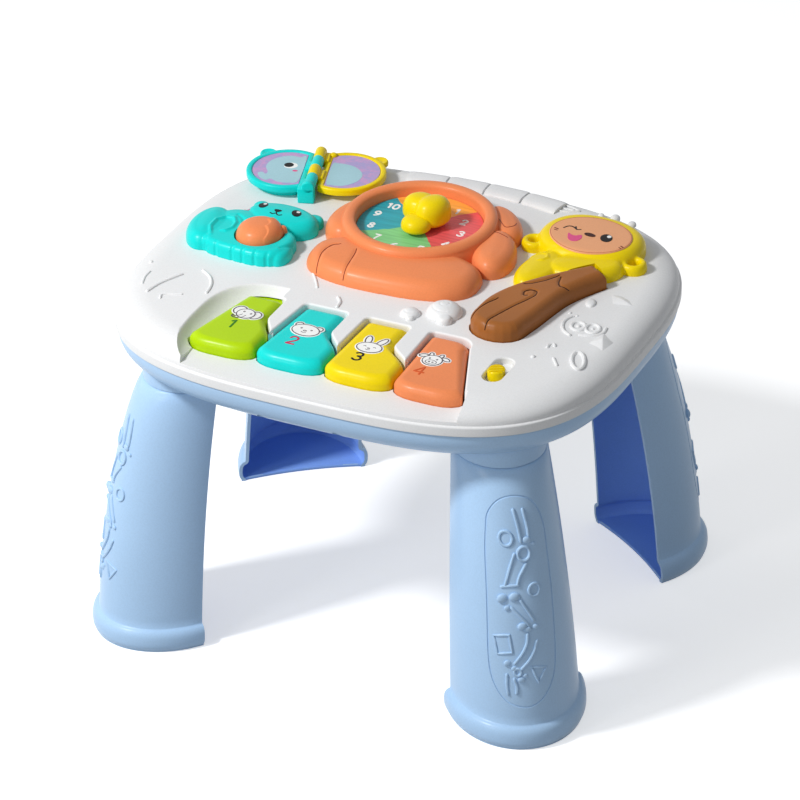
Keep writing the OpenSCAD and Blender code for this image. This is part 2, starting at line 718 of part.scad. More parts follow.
acorn_low = plate_z + acorn_travel + touch;
acorn_flange = belly_h - wall - touch - acorn_travel - touch;
module acorn_button() color(orange) {
    difference() {
        union() {
            translate([acorn_x, acorn_y, acorn_low]) linear_extrude(acorn_flange)
                polygon(blob([0, 0], acorn_a + 2, acorn_b - 2, -12));
            puff([acorn_x, acorn_y], acorn_a, acorn_b - 4, plate_z + belly_h + acorn_up - acorn_low, 11,
                z = acorn_low, turn = -12, n = 28, steps = 5);
        }
        translate([acorn_x, acorn_y, acorn_low - 1]) cylinder(r = 8, h = belly_h + acorn_up - 5);
    }
    translate([acorn_x, acorn_y, under_z - 8]) cylinder(r = 3.2, h = wall + 8 + belly_h + acorn_up - 2);
}

module acorn_spring() color("silver")
    coil(acorn_x, acorn_y, plate_z + touch, acorn_low + belly_h + acorn_up - 6 - touch, 5.6, 0.5, 4);

// ---------- monkey ----------

module monkey_body() color(yellow) difference() {
    union() {
        puff([monkey_x, monkey_y - 1.5], 37, 30, monkey_h, 8, turn = -6, p = 2.2, n = 32);
        puff([112, 52], 26, 16, monkey_h - 3, 7, turn = 25);
        puff([85, 40], 14, 26, monkey_h - 4, 7, turn = -8);
        for (e = [[-36.4, -13.6], [36.5, -16.5]]) translate([monkey_x + e[0], monkey_y + e[1], plate_z]) {
            tube(9, 4, 7);
            rotate([0, 0, atan2(-e[1], -e[0])]) translate([6, -4, 0]) cube([16, 8, 6]);
        }
    }
    translate([0, 0, plate_z + monkey_h - 2.5]) linear_extrude(5)
        polygon(blob([monkey_x + 0.5, monkey_y - 4.5], 29.3, 23.8, -6));
    translate([0, 0, plate_z - 1]) linear_extrude(log_h + 20) offset(delta = 1.2) polygon(log_outline(0));
    for (p = [figure_pegs[4], figure_pegs[5]])
        translate([p[0], p[1], plate_z - 1]) cylinder(r = screw_r - 0.1, h = 8);
}

module monkey_face() color([0.92, 0.65, 0.45])
    puff([monkey_x + 0.5, monkey_y - 4.5], 29, 23.5, 3.2, 2.6, z = plate_z + monkey_h - 2.5, turn = -6);

// ---------- log ----------

log_line = [[89.5, -39], [92, -21], [97, -4], [105, 14], [115, 30], [126, 45]];
log_half = [19, 20, 18, 14, 11, 8.5];
log_stems = [[91.5, -22], [106, 15.8]];

function log_dir(k) = let (d = log_line[min(k + 1, 5)] - log_line[max(k - 1, 0)]) d / norm(d);
function log_side(k, s, d) = log_line[k] + [log_dir(k)[1], -log_dir(k)[0]] * s * (log_half[k] - d);
// Outline of the log, drawn in by d, with a round front end and a blunt back end
function log_outline(d) = concat(
    [for (k = [0:5]) log_side(k, 1, d) + (k == 5 ? -log_dir(5) * d : [0, 0])],
    [for (k = [5:-1:0]) log_side(k, -1, d) + (k == 5 ? -log_dir(5) * d : [0, 0])],
    [for (f = [30:30:150]) log_line[0] - log_dir(0) * (15 - d) * sin(f)
        - [log_dir(0)[1], -log_dir(0)[0]] * (log_half[0] - d) * cos(f)]);

log_low = under_z - 2;
log_roof = plate_z + log_h - wall - 2;
log_stem_z = board_z + board_t + log_travel + 3;
module log_button() color(brown) {
    z_top = plate_z + log_h;
    difference() {
        loft(concat([[for (q = log_outline(0)) [q[0], q[1], log_low]]],
            [for (k = [0:4])
                let (f = 22.5 * k, d = 6 * (1 - cos(f)))
                [for (q = log_outline(d)) [q[0], q[1], z_top - 7 * (1 - sin(f))]]]));
        translate([0, 0, log_low - 1]) linear_extrude(log_roof - log_low + 1)
            polygon(log_outline(wall + 4));
    }
    for (p = log_stems) translate([p[0], p[1], log_stem_z]) cylinder(r = 3, h = z_top - 3 - log_stem_z);
}

module log_springs() color("silver") for (p = log_stems)
    coil(p[0], p[1], board_z + board_t + touch, log_roof - touch, 5.8, 0.5, 4);

// ---------- book ----------

// The hinge frame: X across the book, Y along the hinge, Z up, at the hinge axis
module at_hinge() {
    translate([hinge_x, hinge_y, plate_z + hinge_up]) rotate([0, 0, hinge_turn]) children();
}

page_low = page_up - hinge_up;
page_x = knuckle_r + 16.3;
page_y = hinge_l / 2 + 2.5;
knuckles = 4;
knuckle_l = hinge_l / knuckles;

module knuckle(k) {
    translate([0, k * knuckle_l + 0.25, 0]) rotate([-90, 0, 0])
        cylinder(r = knuckle_r, h = knuckle_l - 0.5);
}

// The round part of a page at the side s of the hinge, without the strip at the hinge:
// drawn in by d, from z up by h
module page_round(s, d, z, h) {
    difference() {
        translate([s * page_x, page_y, z]) cylinder(r = page_r - d, h = h, $fn = 64);
        translate([s > 0 ? -40 : -knuckle_r - 0.6 - d, -20, z - 1])
            cube([40 + knuckle_r + 0.6 + d, hinge_l + 40, h + 2]);
    }
}

// A page with a small ear, with its lower face at z
module page_plate(s, z) {
    page_round(s, 0, z, page_t);
    translate([s * page_x, page_y, z + 0.4]) rotate([0, 0, s > 0 ? 42 : 127])
        translate([page_r, 0, 0]) cylinder(r = 6, h = page_t - 0.8);
}

print_t = 0.6;
print_low = page_low + page_t - 1.2;
module book_base_page() color(cyan) at_hinge() difference() {
    union() {
        page_plate(-1, page_low);
        page_round(-1, 6, -hinge_up, page_up + 1);
        for (k = [0, 2]) {
            knuckle(k);
            translate([-knuckle_r - 4, k * knuckle_l + 0.25, -hinge_up])
                cube([knuckle_r + 4, knuckle_l - 0.5, hinge_up - 1]);
        }
        translate([-knuckle_r - 4, -4, -hinge_up]) cube([2 * knuckle_r + 3.4, 8, hinge_up - 1]);
        translate([0, -4, 0]) rotate([-90, 0, 0]) cylinder(r = knuckle_r + 0.4, h = 5);
    }
    translate([0, -6, 0]) rotate([-90, 0, 0]) cylinder(r = book_pin_r + 0.02, h = hinge_l + 8);
    page_round(-1, 4, print_low, 4);
    for (p = [figure_pegs[6], figure_pegs[7]]) rotate([0, 0, -hinge_turn])
        translate([p[0] - hinge_x, p[1] - hinge_y, -hinge_up - 1]) cylinder(r = screw_r - 0.1, h = 5);
}

module book_base_print() color([0.75, 0.72, 0.90]) at_hinge() page_round(-1, 4.3, print_low, print_t);

module book_page() color(yellow) at_hinge() difference() {
    union() {
        page_plate(1, page_low);
        // feet below the page
        for (y = [-16, 16]) translate([page_x + 14.5, page_y + y, touch - hinge_up])
            cylinder(r = 2.5, h = page_up + 1);
        for (k = [1, 3]) {
            knuckle(k);
            translate([0, k * knuckle_l + 0.25, page_low + 1])
                cube([knuckle_r + 3, knuckle_l - 0.5, -page_low - 1]);
        }
    }
    translate([0, -6, 0]) rotate([-90, 0, 0]) cylinder(r = book_pin_r + run_fit, h = hinge_l + 12);
    page_round(1, 4, print_low, 4);
}

module book_page_print() color([0.75, 0.72, 0.90]) at_hinge() page_round(1, 4.3, print_low, print_t);

module book_pin() color("silver") at_hinge() translate([0, -3.5, 0]) rotate([-90, 0, 0])
    cylinder(r = book_pin_r, h = hinge_l + 3);

// ---------- switch ----------

module switch_slider() color(yellow) translate([switch_x, switch_y + switch_at, 0]) {
    z0 = plate_z - switch_floor + touch;
    difference() {
        translate([0, 0, z0]) linear_extrude(switch_floor + 2.2) slot_2d(12.5, switch_w - 2);
        for (k = [-2:2]) translate([-10, k * 2.2 - 0.5, z0 + switch_floor + 1.2]) cube([20, 1, 2]);
    }
    translate([-1.8, -3.5, under_z - 18]) cube([3.6, 7, z0 - under_z + 18.5]);
}

module slide_switch() color("silver") translate([switch_x, switch_y, board_z + board_t]) difference() {
    translate([-5, -11, 0]) cube([10, 22, under_z - 18 - board_z - board_t + 3]);
    translate([-2.1, -4 - switch_travel, 2]) cube([4.2, 8 + 2 * switch_travel, 30]);
}

// ---------- inside ----------

board_x0 = -98;
board_x1 = 120;
board_y0 = -108;
board_y1 = -68;
acorn_board = [acorn_x - 14, acorn_y - 12, 28, 24];
log_board = [80, -38, 40, 68];
board_posts = [[board_x0 + 26, board_y1 - 5], [board_x1 - 42, board_y1 - 5], [-40, board_y0 + 5],
    [40, board_y0 + 5], [acorn_board[0] + 5, acorn_board[1] + 5],
    [acorn_board[0] + 23, acorn_board[1] + 19], [log_board[0] + 5, log_board[1] + 60],
    [log_board[0] + 33, log_board[1] + 7]];

module board(x0, y0, x1, y1) {
    translate([x0, y0, board_z]) cube([x1 - x0, y1 - y0, board_t]);
}

module circuit_board() color([0.13, 0.42, 0.22]) {
    board(board_x0, board_y0, board_x1, board_y1);
    translate([10, -78, board_z + board_t - eps]) cube([12, 8, 1.6]);
    translate([-12, -78, board_z + board_t - eps]) cylinder(r = 3, h = 6);
    for (k = [0:3]) translate([30 + 6 * k, -76, board_z + board_t - eps]) cube([3, 1.6, 0.7]);
}

module button_boards() color([0.13, 0.42, 0.22]) {
    board(acorn_board[0], acorn_board[1], acorn_board[0] + acorn_board[2], acorn_board[1] + acorn_board[3]);
    board(log_board[0], log_board[1], log_board[0] + log_board[2], log_board[1] + log_board[3]);
}

module button_pads() color([0.25, 0.25, 0.27]) {
    pad(acorn_x, acorn_y, board_z + board_t, under_z - 8 - touch);
    for (p = log_stems) pad(p[0], p[1], board_z + board_t, log_stem_z - touch);
}

module speaker() color([0.2, 0.2, 0.22]) translate([speaker_x, speaker_y, inner_z]) {
    tube(speaker_r, speaker_r - 4, 2);
    translate([0, 0, 1]) cylinder(r1 = speaker_r - 1, r2 = 12, h = 6);
    translate([0, 0, 6]) cylinder(r = 12, h = 7);
}

module battery_cells() color([0.72, 0.55, 0.30]) for (k = [-1:1])
    translate([bay_x - cell_l / 2, bay_y + k * (2 * cell_r + 0.4), cell_z])
        rotate([0, 90, 0]) {
            cylinder(r = cell_r, h = cell_l - 1.2);
            translate([0, 0, cell_l - 1.3]) cylinder(r = 2.7, h = 1.3);
        }

module battery_contacts() color("silver") for (k = [-1:1], s = [-1, 1])
    translate([bay_x + s * (bay_l / 2 - 0.3), bay_y + k * (2 * cell_r + 0.4), cell_z]) {
        translate([-0.3, -5, -5]) cube([0.6, 10, 10]);
        rotate([0, -90 * s, 0]) cylinder(r1 = 4, r2 = 2, h = (bay_l - cell_l) / 2 - 0.6);
    }

module battery_door() color(blue) difference() {
    translate([bay_x - bay_l / 2 - door_lip + 0.3, bay_y - bay_w / 2 + 0.3, floor_z])
        cube([bay_l + 2 * door_lip - 0.6, bay_w - 0.6, door_t - 0.1]);
    translate([door_screw_x, bay_y, floor_z - 1]) cylinder(r = screw_r + 0.2, h = 5);
    for (k = [0:4]) translate([bay_x - bay_l / 2 + 2, bay_y - 8 + k * 4, floor_z - 1]) cube([8, 1.6, 1.6]);
}

module door_screw() color("silver") screw_up(door_screw_x, bay_y, floor_z - 2, 10);

module case_screws() color("silver") for (p = case_spots)
    screw_up(p[0], p[1], floor_z + 4, tray_h + 2);

module figure_screws() color("silver") for (p = figure_pegs) screw_up(p[0], p[1], under_z - 6, 11);

top_cover();
base_tray();
leg_front_left();
leg_front_right();
leg_back_left();
leg_back_right();
key_1();
key_2();
key_3();
key_4();
key_pivot_rod();
key_pads();
fox_surround();
dial_face();
dial_knob();
knob_washer();
squirrel_body();
acorn_button();
acorn_spring();
book_base_page();
book_base_print();
book_page();
book_page_print();
book_pin();
monkey_body();
monkey_face();
log_button();
log_springs();
switch_slider();
slide_switch();
circuit_board();
button_boards();
button_pads();
speaker();
battery_cells();
battery_contacts();
battery_door();
door_screw();
case_screws();
figure_screws();
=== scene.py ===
"""Musical activity table: a domed top with keys, a dial, a flip book and animal buttons, on four legs."""
import math

import bmesh
import bpy
import numpy as np
from mathutils import Matrix, Vector
from mathutils.bvhtree import BVHTree


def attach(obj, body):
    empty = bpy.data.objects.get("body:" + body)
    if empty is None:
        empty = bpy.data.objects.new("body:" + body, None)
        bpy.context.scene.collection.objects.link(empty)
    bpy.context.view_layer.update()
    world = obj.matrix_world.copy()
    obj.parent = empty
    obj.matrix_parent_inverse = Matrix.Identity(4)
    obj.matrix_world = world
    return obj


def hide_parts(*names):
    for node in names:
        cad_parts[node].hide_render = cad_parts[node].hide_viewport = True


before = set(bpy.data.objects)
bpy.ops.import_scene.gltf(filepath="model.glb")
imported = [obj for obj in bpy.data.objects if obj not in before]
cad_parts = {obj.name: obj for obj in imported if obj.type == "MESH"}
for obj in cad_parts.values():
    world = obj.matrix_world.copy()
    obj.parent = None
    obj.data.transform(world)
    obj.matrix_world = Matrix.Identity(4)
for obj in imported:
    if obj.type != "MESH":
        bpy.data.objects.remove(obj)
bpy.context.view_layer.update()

MM = 0.001
QUARTER = math.pi / 2
TAU = 2 * math.pi

# ---------- sizes, in millimetres, as in the part's source ----------

TABLE_A, TABLE_B, TABLE_SQUARE = 177.5, 152.5, 3.15
PLATE_Z, PART_Z, FLOOR_Z, COLLAR_Z = 243.5, 223.5, 201.5, 190.5
LIP_H, LIP_GROOVE, EDGE_W, WALL = 7.5, 1.4, 20, 2.4
UNDER_Z = PLATE_Z - WALL
SHELF_Z = PLATE_Z - 10
EDGE_Z = PART_Z + LIP_H + 0.8
KEY_LEFT, KEY_PITCH, KEY_W = -93.7, 49, 47.6
KEY_FRONT, KEY_BACK = -127, -59
KEY_BACK_LEFT, KEY_BACK_RIGHT = (-82, -39, 6, 52), (-56, -10, 35, 81)
KEY_SIDE_Y, KEY_WIDE_Y = -81, -102
KEY_GAP = 0.8
KEY_TOP, KEY_H, KEY_ROUND = 243, 15, 6
KEY_BAY_X, KEY_BAY_FRONT, KEY_BAY_BACK = 122, -142, -36
KEY_LOW = KEY_TOP - KEY_H
ROD_Y, ROD_Z, ROD_HOLE = -50, 232, 1.75
DIAL = (-9.7, 53.9)
DIAL_R, RING_R, RING_H = 43.4, 53, 17.5
FACE_TOP = PLATE_Z + 9
KNOB_TOP = PLATE_Z + 30
ACORN = (-102, -3)
MONKEY = (103, 86)
SWITCH, SWITCH_AT = (110.5, -85), -3
LOG_LINE = ((89.5, -39), (92, -21), (97, -4), (105, 14), (115, 30), (126, 45))
LOG_HALF = (19, 20, 18, 14, 11, 8.5)
LOG_STEMS = ((91.5, -22), (106, 15.8))
LOG_H = 12
HINGE, HINGE_TURN = (-101, 70, PLATE_Z + 12), math.radians(17)
KNUCKLE_R, KNUCKLE_L, KNUCKLE_GAP = 4, 13, 0.25
SCREW_R = 1.5
BRANCH_R, BRANCH_X = 290, 5
BRANCH_Y = TABLE_B - 17.5 - BRANCH_R
CORNERS = tuple((sx, sy) for sx in (-1, 1) for sy in (-1, 1))
FRONT_SPOTS = ((-30, -143.5), (24, -143.5))
CASE_SPOTS = (*((sx * 152.5, sy * 26) for sx, sy in CORNERS), (-60, 128.5), (60, 128.5), *FRONT_SPOTS)

# ---------- shared ways of making a shape ----------


def angles(steps, end=QUARTER):
    """Even angles from 0 to end, both included."""
    return [end * k / steps for k in range(steps + 1)]


def turns(steps, start=0.0):
    """Even angles round a full turn, with start as the share of a step before the first."""
    return [TAU * (k + start) / steps for k in range(steps)]


def polar(centre, r, f):
    return centre[0] + r * math.cos(f), centre[1] + r * math.sin(f)


def as_mesh(name, bm):
    """A mesh from a bmesh, which is used up."""
    mesh = bpy.data.meshes.new(name)
    bm.to_mesh(mesh)
    bm.free()
    return mesh


def linked(name, data):
    """An object in the scene that holds a mesh, a lamp or a camera."""
    obj = bpy.data.objects.new(name, data)
    bpy.context.scene.collection.objects.link(obj)
    return obj


def discard(obj):
    mesh = obj.data
    bpy.data.objects.remove(obj)
    bpy.data.meshes.remove(mesh)


def add_piece(name, bm, finish, body="table", stands_for=(), slot=None, smooth=40):
    """Turns a bmesh in millimetres into a piece that rides on a body."""
    bmesh.ops.scale(bm, vec=(MM, MM, MM), verts=bm.verts)
    mesh = as_mesh(name, bm)
    if "order" in mesh.attributes:
        mesh.attributes.remove(mesh.attributes["order"])
    obj = linked(name, mesh)
    for m in finish if isinstance(finish, (list, tuple)) else [finish]:
        mesh.materials.append(m)
    mesh.polygons.foreach_set("use_smooth", np.ones(len(mesh.polygons), bool))
    mesh.set_sharp_from_angle(angle=math.radians(smooth))
    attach(obj, body)
    if stands_for:
        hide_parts(*stands_for)
    return obj


def level_shading(obj):
    """Keeps large flat faces flat where a small rounding meets them."""
    m = obj.modifiers.new("level_shading", "WEIGHTED_NORMAL")
    m.keep_sharp = True
    m.weight = 100


def apply_modifiers(bm, *made):
    """Runs modifiers, given as (kind, settings), on a bmesh and returns the result."""
    obj = linked("work", as_mesh("work", bm))
    for kind, settings in made:
        m = obj.modifiers.new(kind.lower(), kind)
        for key, value in settings.items():
            setattr(m, key, value)
    graph = bpy.context.evaluated_depsgraph_get()
    out = bmesh.new()
    out.from_mesh(obj.evaluated_get(graph).to_mesh())
    discard(obj)
    return out


def thicken(bm):
    return apply_modifiers(bm, ("SOLIDIFY", {"thickness": WALL, "offset": -1.0}))


def cut(bm, *cutters):
    """Takes closed cutters out of a closed shape, one after the other."""
    for cutter in cutters:
        tool = linked("cutter", as_mesh("cutter", cutter))
        bm = apply_modifiers(bm, ("BOOLEAN", {"object": tool, "operation": "DIFFERENCE", "solver": "EXACT"}))
        discard(tool)
    return bm


def join(*parts):
    """Puts several bmeshes into one."""
    out = bmesh.new()
    for part in parts:
        mesh = as_mesh("part", part)
        out.from_mesh(mesh)
        bpy.data.meshes.remove(mesh)
    return out


def raised(bm, z):
    bmesh.ops.translate(bm, vec=(0, 0, z), verts=bm.verts)
    return bm


def set_down(bm, at, turn=0.0):
    """Turns a shape about Z, by an angle in radians, and moves it to a place."""
    bmesh.ops.transform(bm, matrix=Matrix.Translation(at) @ Matrix.Rotation(turn, 4, "Z"), verts=bm.verts)
    return bm


def bevelled(bm, geom, offset, segments):
    bmesh.ops.bevel(bm, geom=geom, offset=offset, segments=segments, affect="EDGES", profile=0.5, material=-1)


def closed_up(bm):
    """Welds the meeting ends of a shape and turns its faces outwards."""
    bmesh.ops.remove_doubles(bm, verts=bm.verts, dist=1e-4)
    bmesh.ops.recalc_face_normals(bm, faces=bm.faces)
    return bm


def ring_edges(verts, closed):
    """The edges along a ring of vertices, in order."""
    pairs = zip(verts, verts[1:] + verts[:1]) if closed else zip(verts, verts[1:])
    return [e for a, b in pairs for e in a.link_edges if e.other_vert(a) is b]


def ring_loft(rings, closed=True, capped=True):
    """A skin through rings of points: one ring, extruded from each to the next."""
    bm = bmesh.new()
    order = bm.verts.layers.int.new("order")
    n = len(rings[0])
    first = verts = [bm.verts.new(p) for p in rings[0]]
    for i, v in enumerate(verts):
        v[order] = i
    edges = [bm.edges.new((verts[i], verts[(i + 1) % n])) for i in range(n if closed else n - 1)]
    for ring in rings[1:]:
        made = bmesh.ops.extrude_edge_only(bm, edges=edges)["geom"]
        verts = sorted((e for e in made if isinstance(e, bmesh.types.BMVert)), key=lambda v: v[order])
        edges = ring_edges(verts, closed)
        for v, p in zip(verts, ring):
            v.co = p
    if closed and capped:
        bm.faces.new(first)
        bm.faces.new(verts)
    bmesh.ops.recalc_face_normals(bm, faces=bm.faces)
    return bm


def level_loft(outline, levels, capped=True):
    """A skin through (size, height) levels of an outline that is a function of the size."""
    return ring_loft([[(x, y, z) for x, y in outline(d)] for d, z in levels], capped=capped)


def spun(profile, steps=96, centre=(0, 0, 0), ends_on_axis=True):
    """A closed shape spun from a profile of (radius, height) points."""
    bm = bmesh.new()
    verts = [bm.verts.new((r, 0, z)) for r, z in profile]
    edges = [bm.edges.new(pair) for pair in zip(verts, verts[1:])]
    if not ends_on_axis:
        edges.append(bm.edges.new((verts[-1], verts[0])))
    bmesh.ops.spin(bm, geom=verts + edges, cent=(0, 0, 0), axis=(0, 0, 1), angle=TAU, steps=steps,
                   use_merge=True, use_duplicate=False)
    bmesh.ops.remove_doubles(bm, verts=bm.verts, dist=0.001)
    bmesh.ops.recalc_face_normals(bm, faces=bm.faces)
    bmesh.ops.translate(bm, vec=centre, verts=bm.verts)
    return bm


def button(x, y, z, r, flat, foot, steps, segments):
    """A low round button, with its foot below z and its dome flattened by a share."""
    profile = [(0, -foot), (r, -foot)] + [(r * math.cos(f), r * flat * math.sin(f)) for f in angles(steps)]
    return spun(profile, segments, (x, y, z))


def block(low, high, bevel=0.5, segments=2):
    """A box between two corners, with rounded edges."""
    bm = bmesh.new()
    bmesh.ops.create_cube(bm, size=1)
    bmesh.ops.scale(bm, vec=[h - l for l, h in zip(low, high)], verts=bm.verts)
    bmesh.ops.translate(bm, vec=[(l + h) / 2 for l, h in zip(low, high)], verts=bm.verts)
    if bevel:
        bevelled(bm, bm.edges[:], bevel, segments)
    return bm


def rod(start, end, radius, segments=24, bevel=0.0):
    """A round rod between two points."""
    start, end = Vector(start), Vector(end)
    bm = bmesh.new()
    bmesh.ops.create_cone(bm, cap_ends=True, segments=segments, radius1=radius, radius2=radius,
                          depth=(end - start).length)
    if bevel:
        bevelled(bm, [e for e in bm.edges if abs(e.verts[0].co.z - e.verts[1].co.z) < 1e-6], bevel, 3)
    turn = (end - start).to_track_quat("Z", "Y").to_matrix().to_4x4()
    bmesh.ops.transform(bm, matrix=Matrix.Translation((start + end) / 2) @ turn, verts=bm.verts)
    return bm


def upright(at, low, high, radius, segments=24, bevel=0.0):
    """A rod that stands at a place, between two heights."""
    return rod((*at, low), (*at, high), radius, segments, bevel)


def tube_along(points, radius, segments=8, closed=False):
    """A round bead along a line of 3-D points, with tapered ends."""
    pts = [Vector(p) for p in points]
    n = len(pts)
    rings = []
    up = None
    for i, p in enumerate(pts):
        ahead = pts[(i + 1) % n] if closed or i < n - 1 else p
        behind = pts[i - 1] if closed or i > 0 else p
        along = (ahead - behind).normalized()
        if up is None:
            up = Vector((0, 0, 1)) if abs(along.z) < 0.9 else along.orthogonal()
        up = (up - along * up.dot(along)).normalized()
        side = along.cross(up)
        rings.append([p + (up * math.cos(f) + side * math.sin(f)) * radius for f in turns(segments)])
    if closed:
        return closed_up(ring_loft(rings + [rings[0]], capped=False))

    def tip(ring, at, out):
        return [at + out.normalized() * radius * 0.6 + (q - at) * 0.45 for q in ring]

    return ring_loft([tip(rings[0], pts[0], pts[0] - pts[1])] + rings
                     + [tip(rings[-1], pts[-1], pts[-1] - pts[-2])])


def smooth_line(points, per=6, closed=False):
    """A Catmull-Rom line through points, of any dimension."""
    pts = [np.array(p, float) for p in points]
    n = len(pts)
    if not closed:
        pts = pts + [2 * pts[-1] - pts[-2], 2 * pts[0] - pts[1]]
    out = []
    for i in range(n if closed else n - 1):
        a, b, c, d = (pts[(i + k) % len(pts)] for k in (-1, 0, 1, 2))
        for t in (k / per for k in range(per)):
            out.append(0.5 * (2 * b + (c - a) * t + (2 * a - 5 * b + 4 * c - d) * t * t
                              + (3 * b - a - 3 * c + d) * t ** 3))
    return out if closed else out + [pts[n - 1]]


def soft_outline(points, per=4):
    """A smooth closed flat outline through points."""
    return [tuple(q) for q in smooth_line(points, per, True)]


def squircle(a, b, p, t):
    c, s = math.cos(t), math.sin(t)
    return a * math.copysign(abs(c) ** (2 / p), c), b * math.copysign(abs(s) ** (2 / p), s)


def spread_out(points, at, turn, size=1.0):
    """Flat points scaled, turned by degrees and moved to a place."""
    c, s = size * math.cos(math.radians(turn)), size * math.sin(math.radians(turn))
    return [(at[0] + x * c - y * s, at[1] + x * s + y * c) for x, y in points]


def blob(c, a, b, turn=0, p=2, n=64):
    """An oval outline round a middle, turned by turn degrees."""
    return spread_out([squircle(a, b, p, f) for f in turns(n)], c, turn)


def rim(d, z, n=192):
    """The outline of the top, drawn in by d, at height z."""
    return [(*squircle(TABLE_A - d, TABLE_B - d, TABLE_SQUARE, f), z) for f in turns(n, 0.5)]


def grow(outline, d):
    """A closed flat outline moved outwards by d."""
    pts = np.array(outline, float)
    ahead, behind = np.roll(pts, -1, 0), np.roll(pts, 1, 0)

    def outward(e):
        return np.stack([e[:, 1], -e[:, 0]], 1) / np.maximum(np.linalg.norm(e, axis=1), 1e-9)[:, None]

    n = outward(pts - behind) + outward(ahead - pts)
    n /= np.maximum(np.linalg.norm(n, axis=1), 1e-9)[:, None]
    area = 0.5 * np.sum(pts[:, 0] * ahead[:, 1] - ahead[:, 0] * pts[:, 1])
    return [tuple(q) for q in pts + n * d * math.copysign(1, area)]


def prism(outline, levels):
    """A closed shape through (height, growth) levels of one flat outline."""
    return ring_loft([[(x, y, z) for x, y in (grow(outline, d) if d else outline)] for z, d in levels])


def cushion(c, a, b, h, edge, turn=0, p=2.0, n=72, steps=8, crown=0.6):
    """A rounded cushion on an oval outline, with its edge rounded over the width edge and a low crown."""
    def ring(d, z):
        return [(x, y, PLATE_Z + z) for x, y in blob(c, a - d, b - d, turn, p, n)]

    rise, left = min(edge, h - 0.6), min(a, b) - edge
    rings = [ring(0, -0.5)]
    rings += [ring(edge * (1 - math.cos(f)), h - crown - rise * (1 - math.sin(f))) for f in angles(steps)]
    rings += [ring(edge + left * s * 0.98, h - crown * (1 - s) ** 2) for s in (0.2, 0.4, 0.6, 0.8, 1.0)]
    return ring_loft(rings)


def dome_cap(c, a, b, h, turn=0, z=PLATE_Z, full=0.8, n=64, steps=18, below=0.0):
    """A dome on an oval outline, which can bulge below too; full is 1 for a half-ball, less if fuller."""
    def ring(s, up):
        return [(x, y, z + up) for x, y in blob(c, a * s, b * s, turn, 2, n)]

    rings = [ring(math.cos(f) ** full, -below * math.sin(f)) for f in angles(steps)[-2:0:-1]] if below else []
    rings += [ring(math.cos(f) ** full, h * math.sin(f) ** full) for f in angles(steps)[:-1]]
    return ring_loft(rings + [ring(0.04, h)])


def melt(voxel, rounds, *parts):
    """Joins overlapping shapes into one smooth skin."""
    return apply_modifiers(join(*parts), ("REMESH", {"mode": "VOXEL", "voxel_size": voxel}),
                           ("SMOOTH", {"iterations": rounds, "factor": 0.5}))


def line_distance(xy, points):
    """Distance of each point of xy from a line of flat points, and the place along it from 0 to 1."""
    pts = np.array(points, float)[:, :2]
    best = np.full(len(xy), 1e9)
    at = np.zeros(len(xy))
    for i in range(len(pts) - 1):
        a, e = pts[i], pts[i + 1] - pts[i]
        t = np.clip(((xy - a) @ e) / max(e @ e, 1e-9), 0, 1)
        d = np.linalg.norm(xy - a - t[:, None] * e, axis=1)
        better = d < best
        at[better] = (i + t[better]) / (len(pts) - 1)
        best = np.minimum(best, d)
    return best, at


def carve(bm, lines, width, depth):
    """Presses soft grooves along lines into the upper side of a skin; a negative depth raises them."""
    bm.normal_update()
    verts = [v for v in bm.verts if v.normal.z > 0.15]
    xy = np.array([v.co[:2] for v in verts]).reshape(-1, 2)
    for points in lines:
        d, at = line_distance(xy, points)
        ends = np.clip(np.minimum(at, 1 - at) * 12, 0, 1)
        push = depth * np.clip(1 - (d / width) ** 2, 0, 1) ** 2 * ends ** 0.5
        for i in np.nonzero(np.abs(push) > 1e-4)[0]:
            verts[i].co.z -= push[i]


# ---------- finishes ----------


def rgb(r, g, b):
    """A colour in 0-255 as the eye sees it, made linear."""
    return tuple(((c / 255 + 0.055) / 1.055) ** 2.4 if c > 10 else c / 255 / 12.92 for c in (r, g, b))


def shade(colour, factor):
    return tuple(min(1, c * factor) for c in colour)


def set_inputs(node, **values):
    """Sets a node's inputs, whose names are given with underscores for spaces."""
    for name, value in values.items():
        node.inputs[name.replace("_", " ")].default_value = value
    return node


def add_node(tree, kind, **values):
    return set_inputs(tree.nodes.new("ShaderNode" + kind), **values)


def new_material(name):
    m = bpy.data.materials.new(name)
    m.use_nodes = True
    return m, m.node_tree, m.node_tree.nodes["Principled BSDF"]


def link(tree, a, out, b, into):
    tree.links.new(a.outputs[out], b.inputs[into])


def lay_over(tree, node):
    """Drives a texture by the place on the piece, in metres."""
    place = tree.nodes.get("Texture Coordinate") or tree.nodes.new("ShaderNodeTexCoord")
    link(tree, place, "Object", node, "Vector")
    return node


def object_noise(tree, scale, detail=3.0, rough=0.5):
    """Noise laid over the piece, a bump or patch of 1/scale metres."""
    return lay_over(tree, add_node(tree, "TexNoise", Scale=scale, Detail=detail, Roughness=rough))


def tones(tree, source, out, stops, interpolation="LINEAR"):
    """A ramp of (place, colour) stops, driven by an output."""
    ramp = tree.nodes.new("ShaderNodeValToRGB")
    ramp.color_ramp.interpolation = interpolation
    while len(ramp.color_ramp.elements) < len(stops):
        ramp.color_ramp.elements.new(0.5)
    for e, (at, colour) in zip(ramp.color_ramp.elements, stops):
        e.position = at
        e.color = (*colour, 1)
    link(tree, source, out, ramp, "Fac")
    return ramp


def multiply(tree, first, second, factor, shader):
    """The colour of one ramp, darkened or lightened by another, as the base colour."""
    mix = tree.nodes.new("ShaderNodeMix")
    mix.data_type = "RGBA"
    mix.blend_type = "MULTIPLY"
    mix.inputs[0].default_value = factor
    link(tree, first, "Color", mix, 6)
    link(tree, second, "Color", mix, 7)
    link(tree, mix, 2, shader, "Base Color")


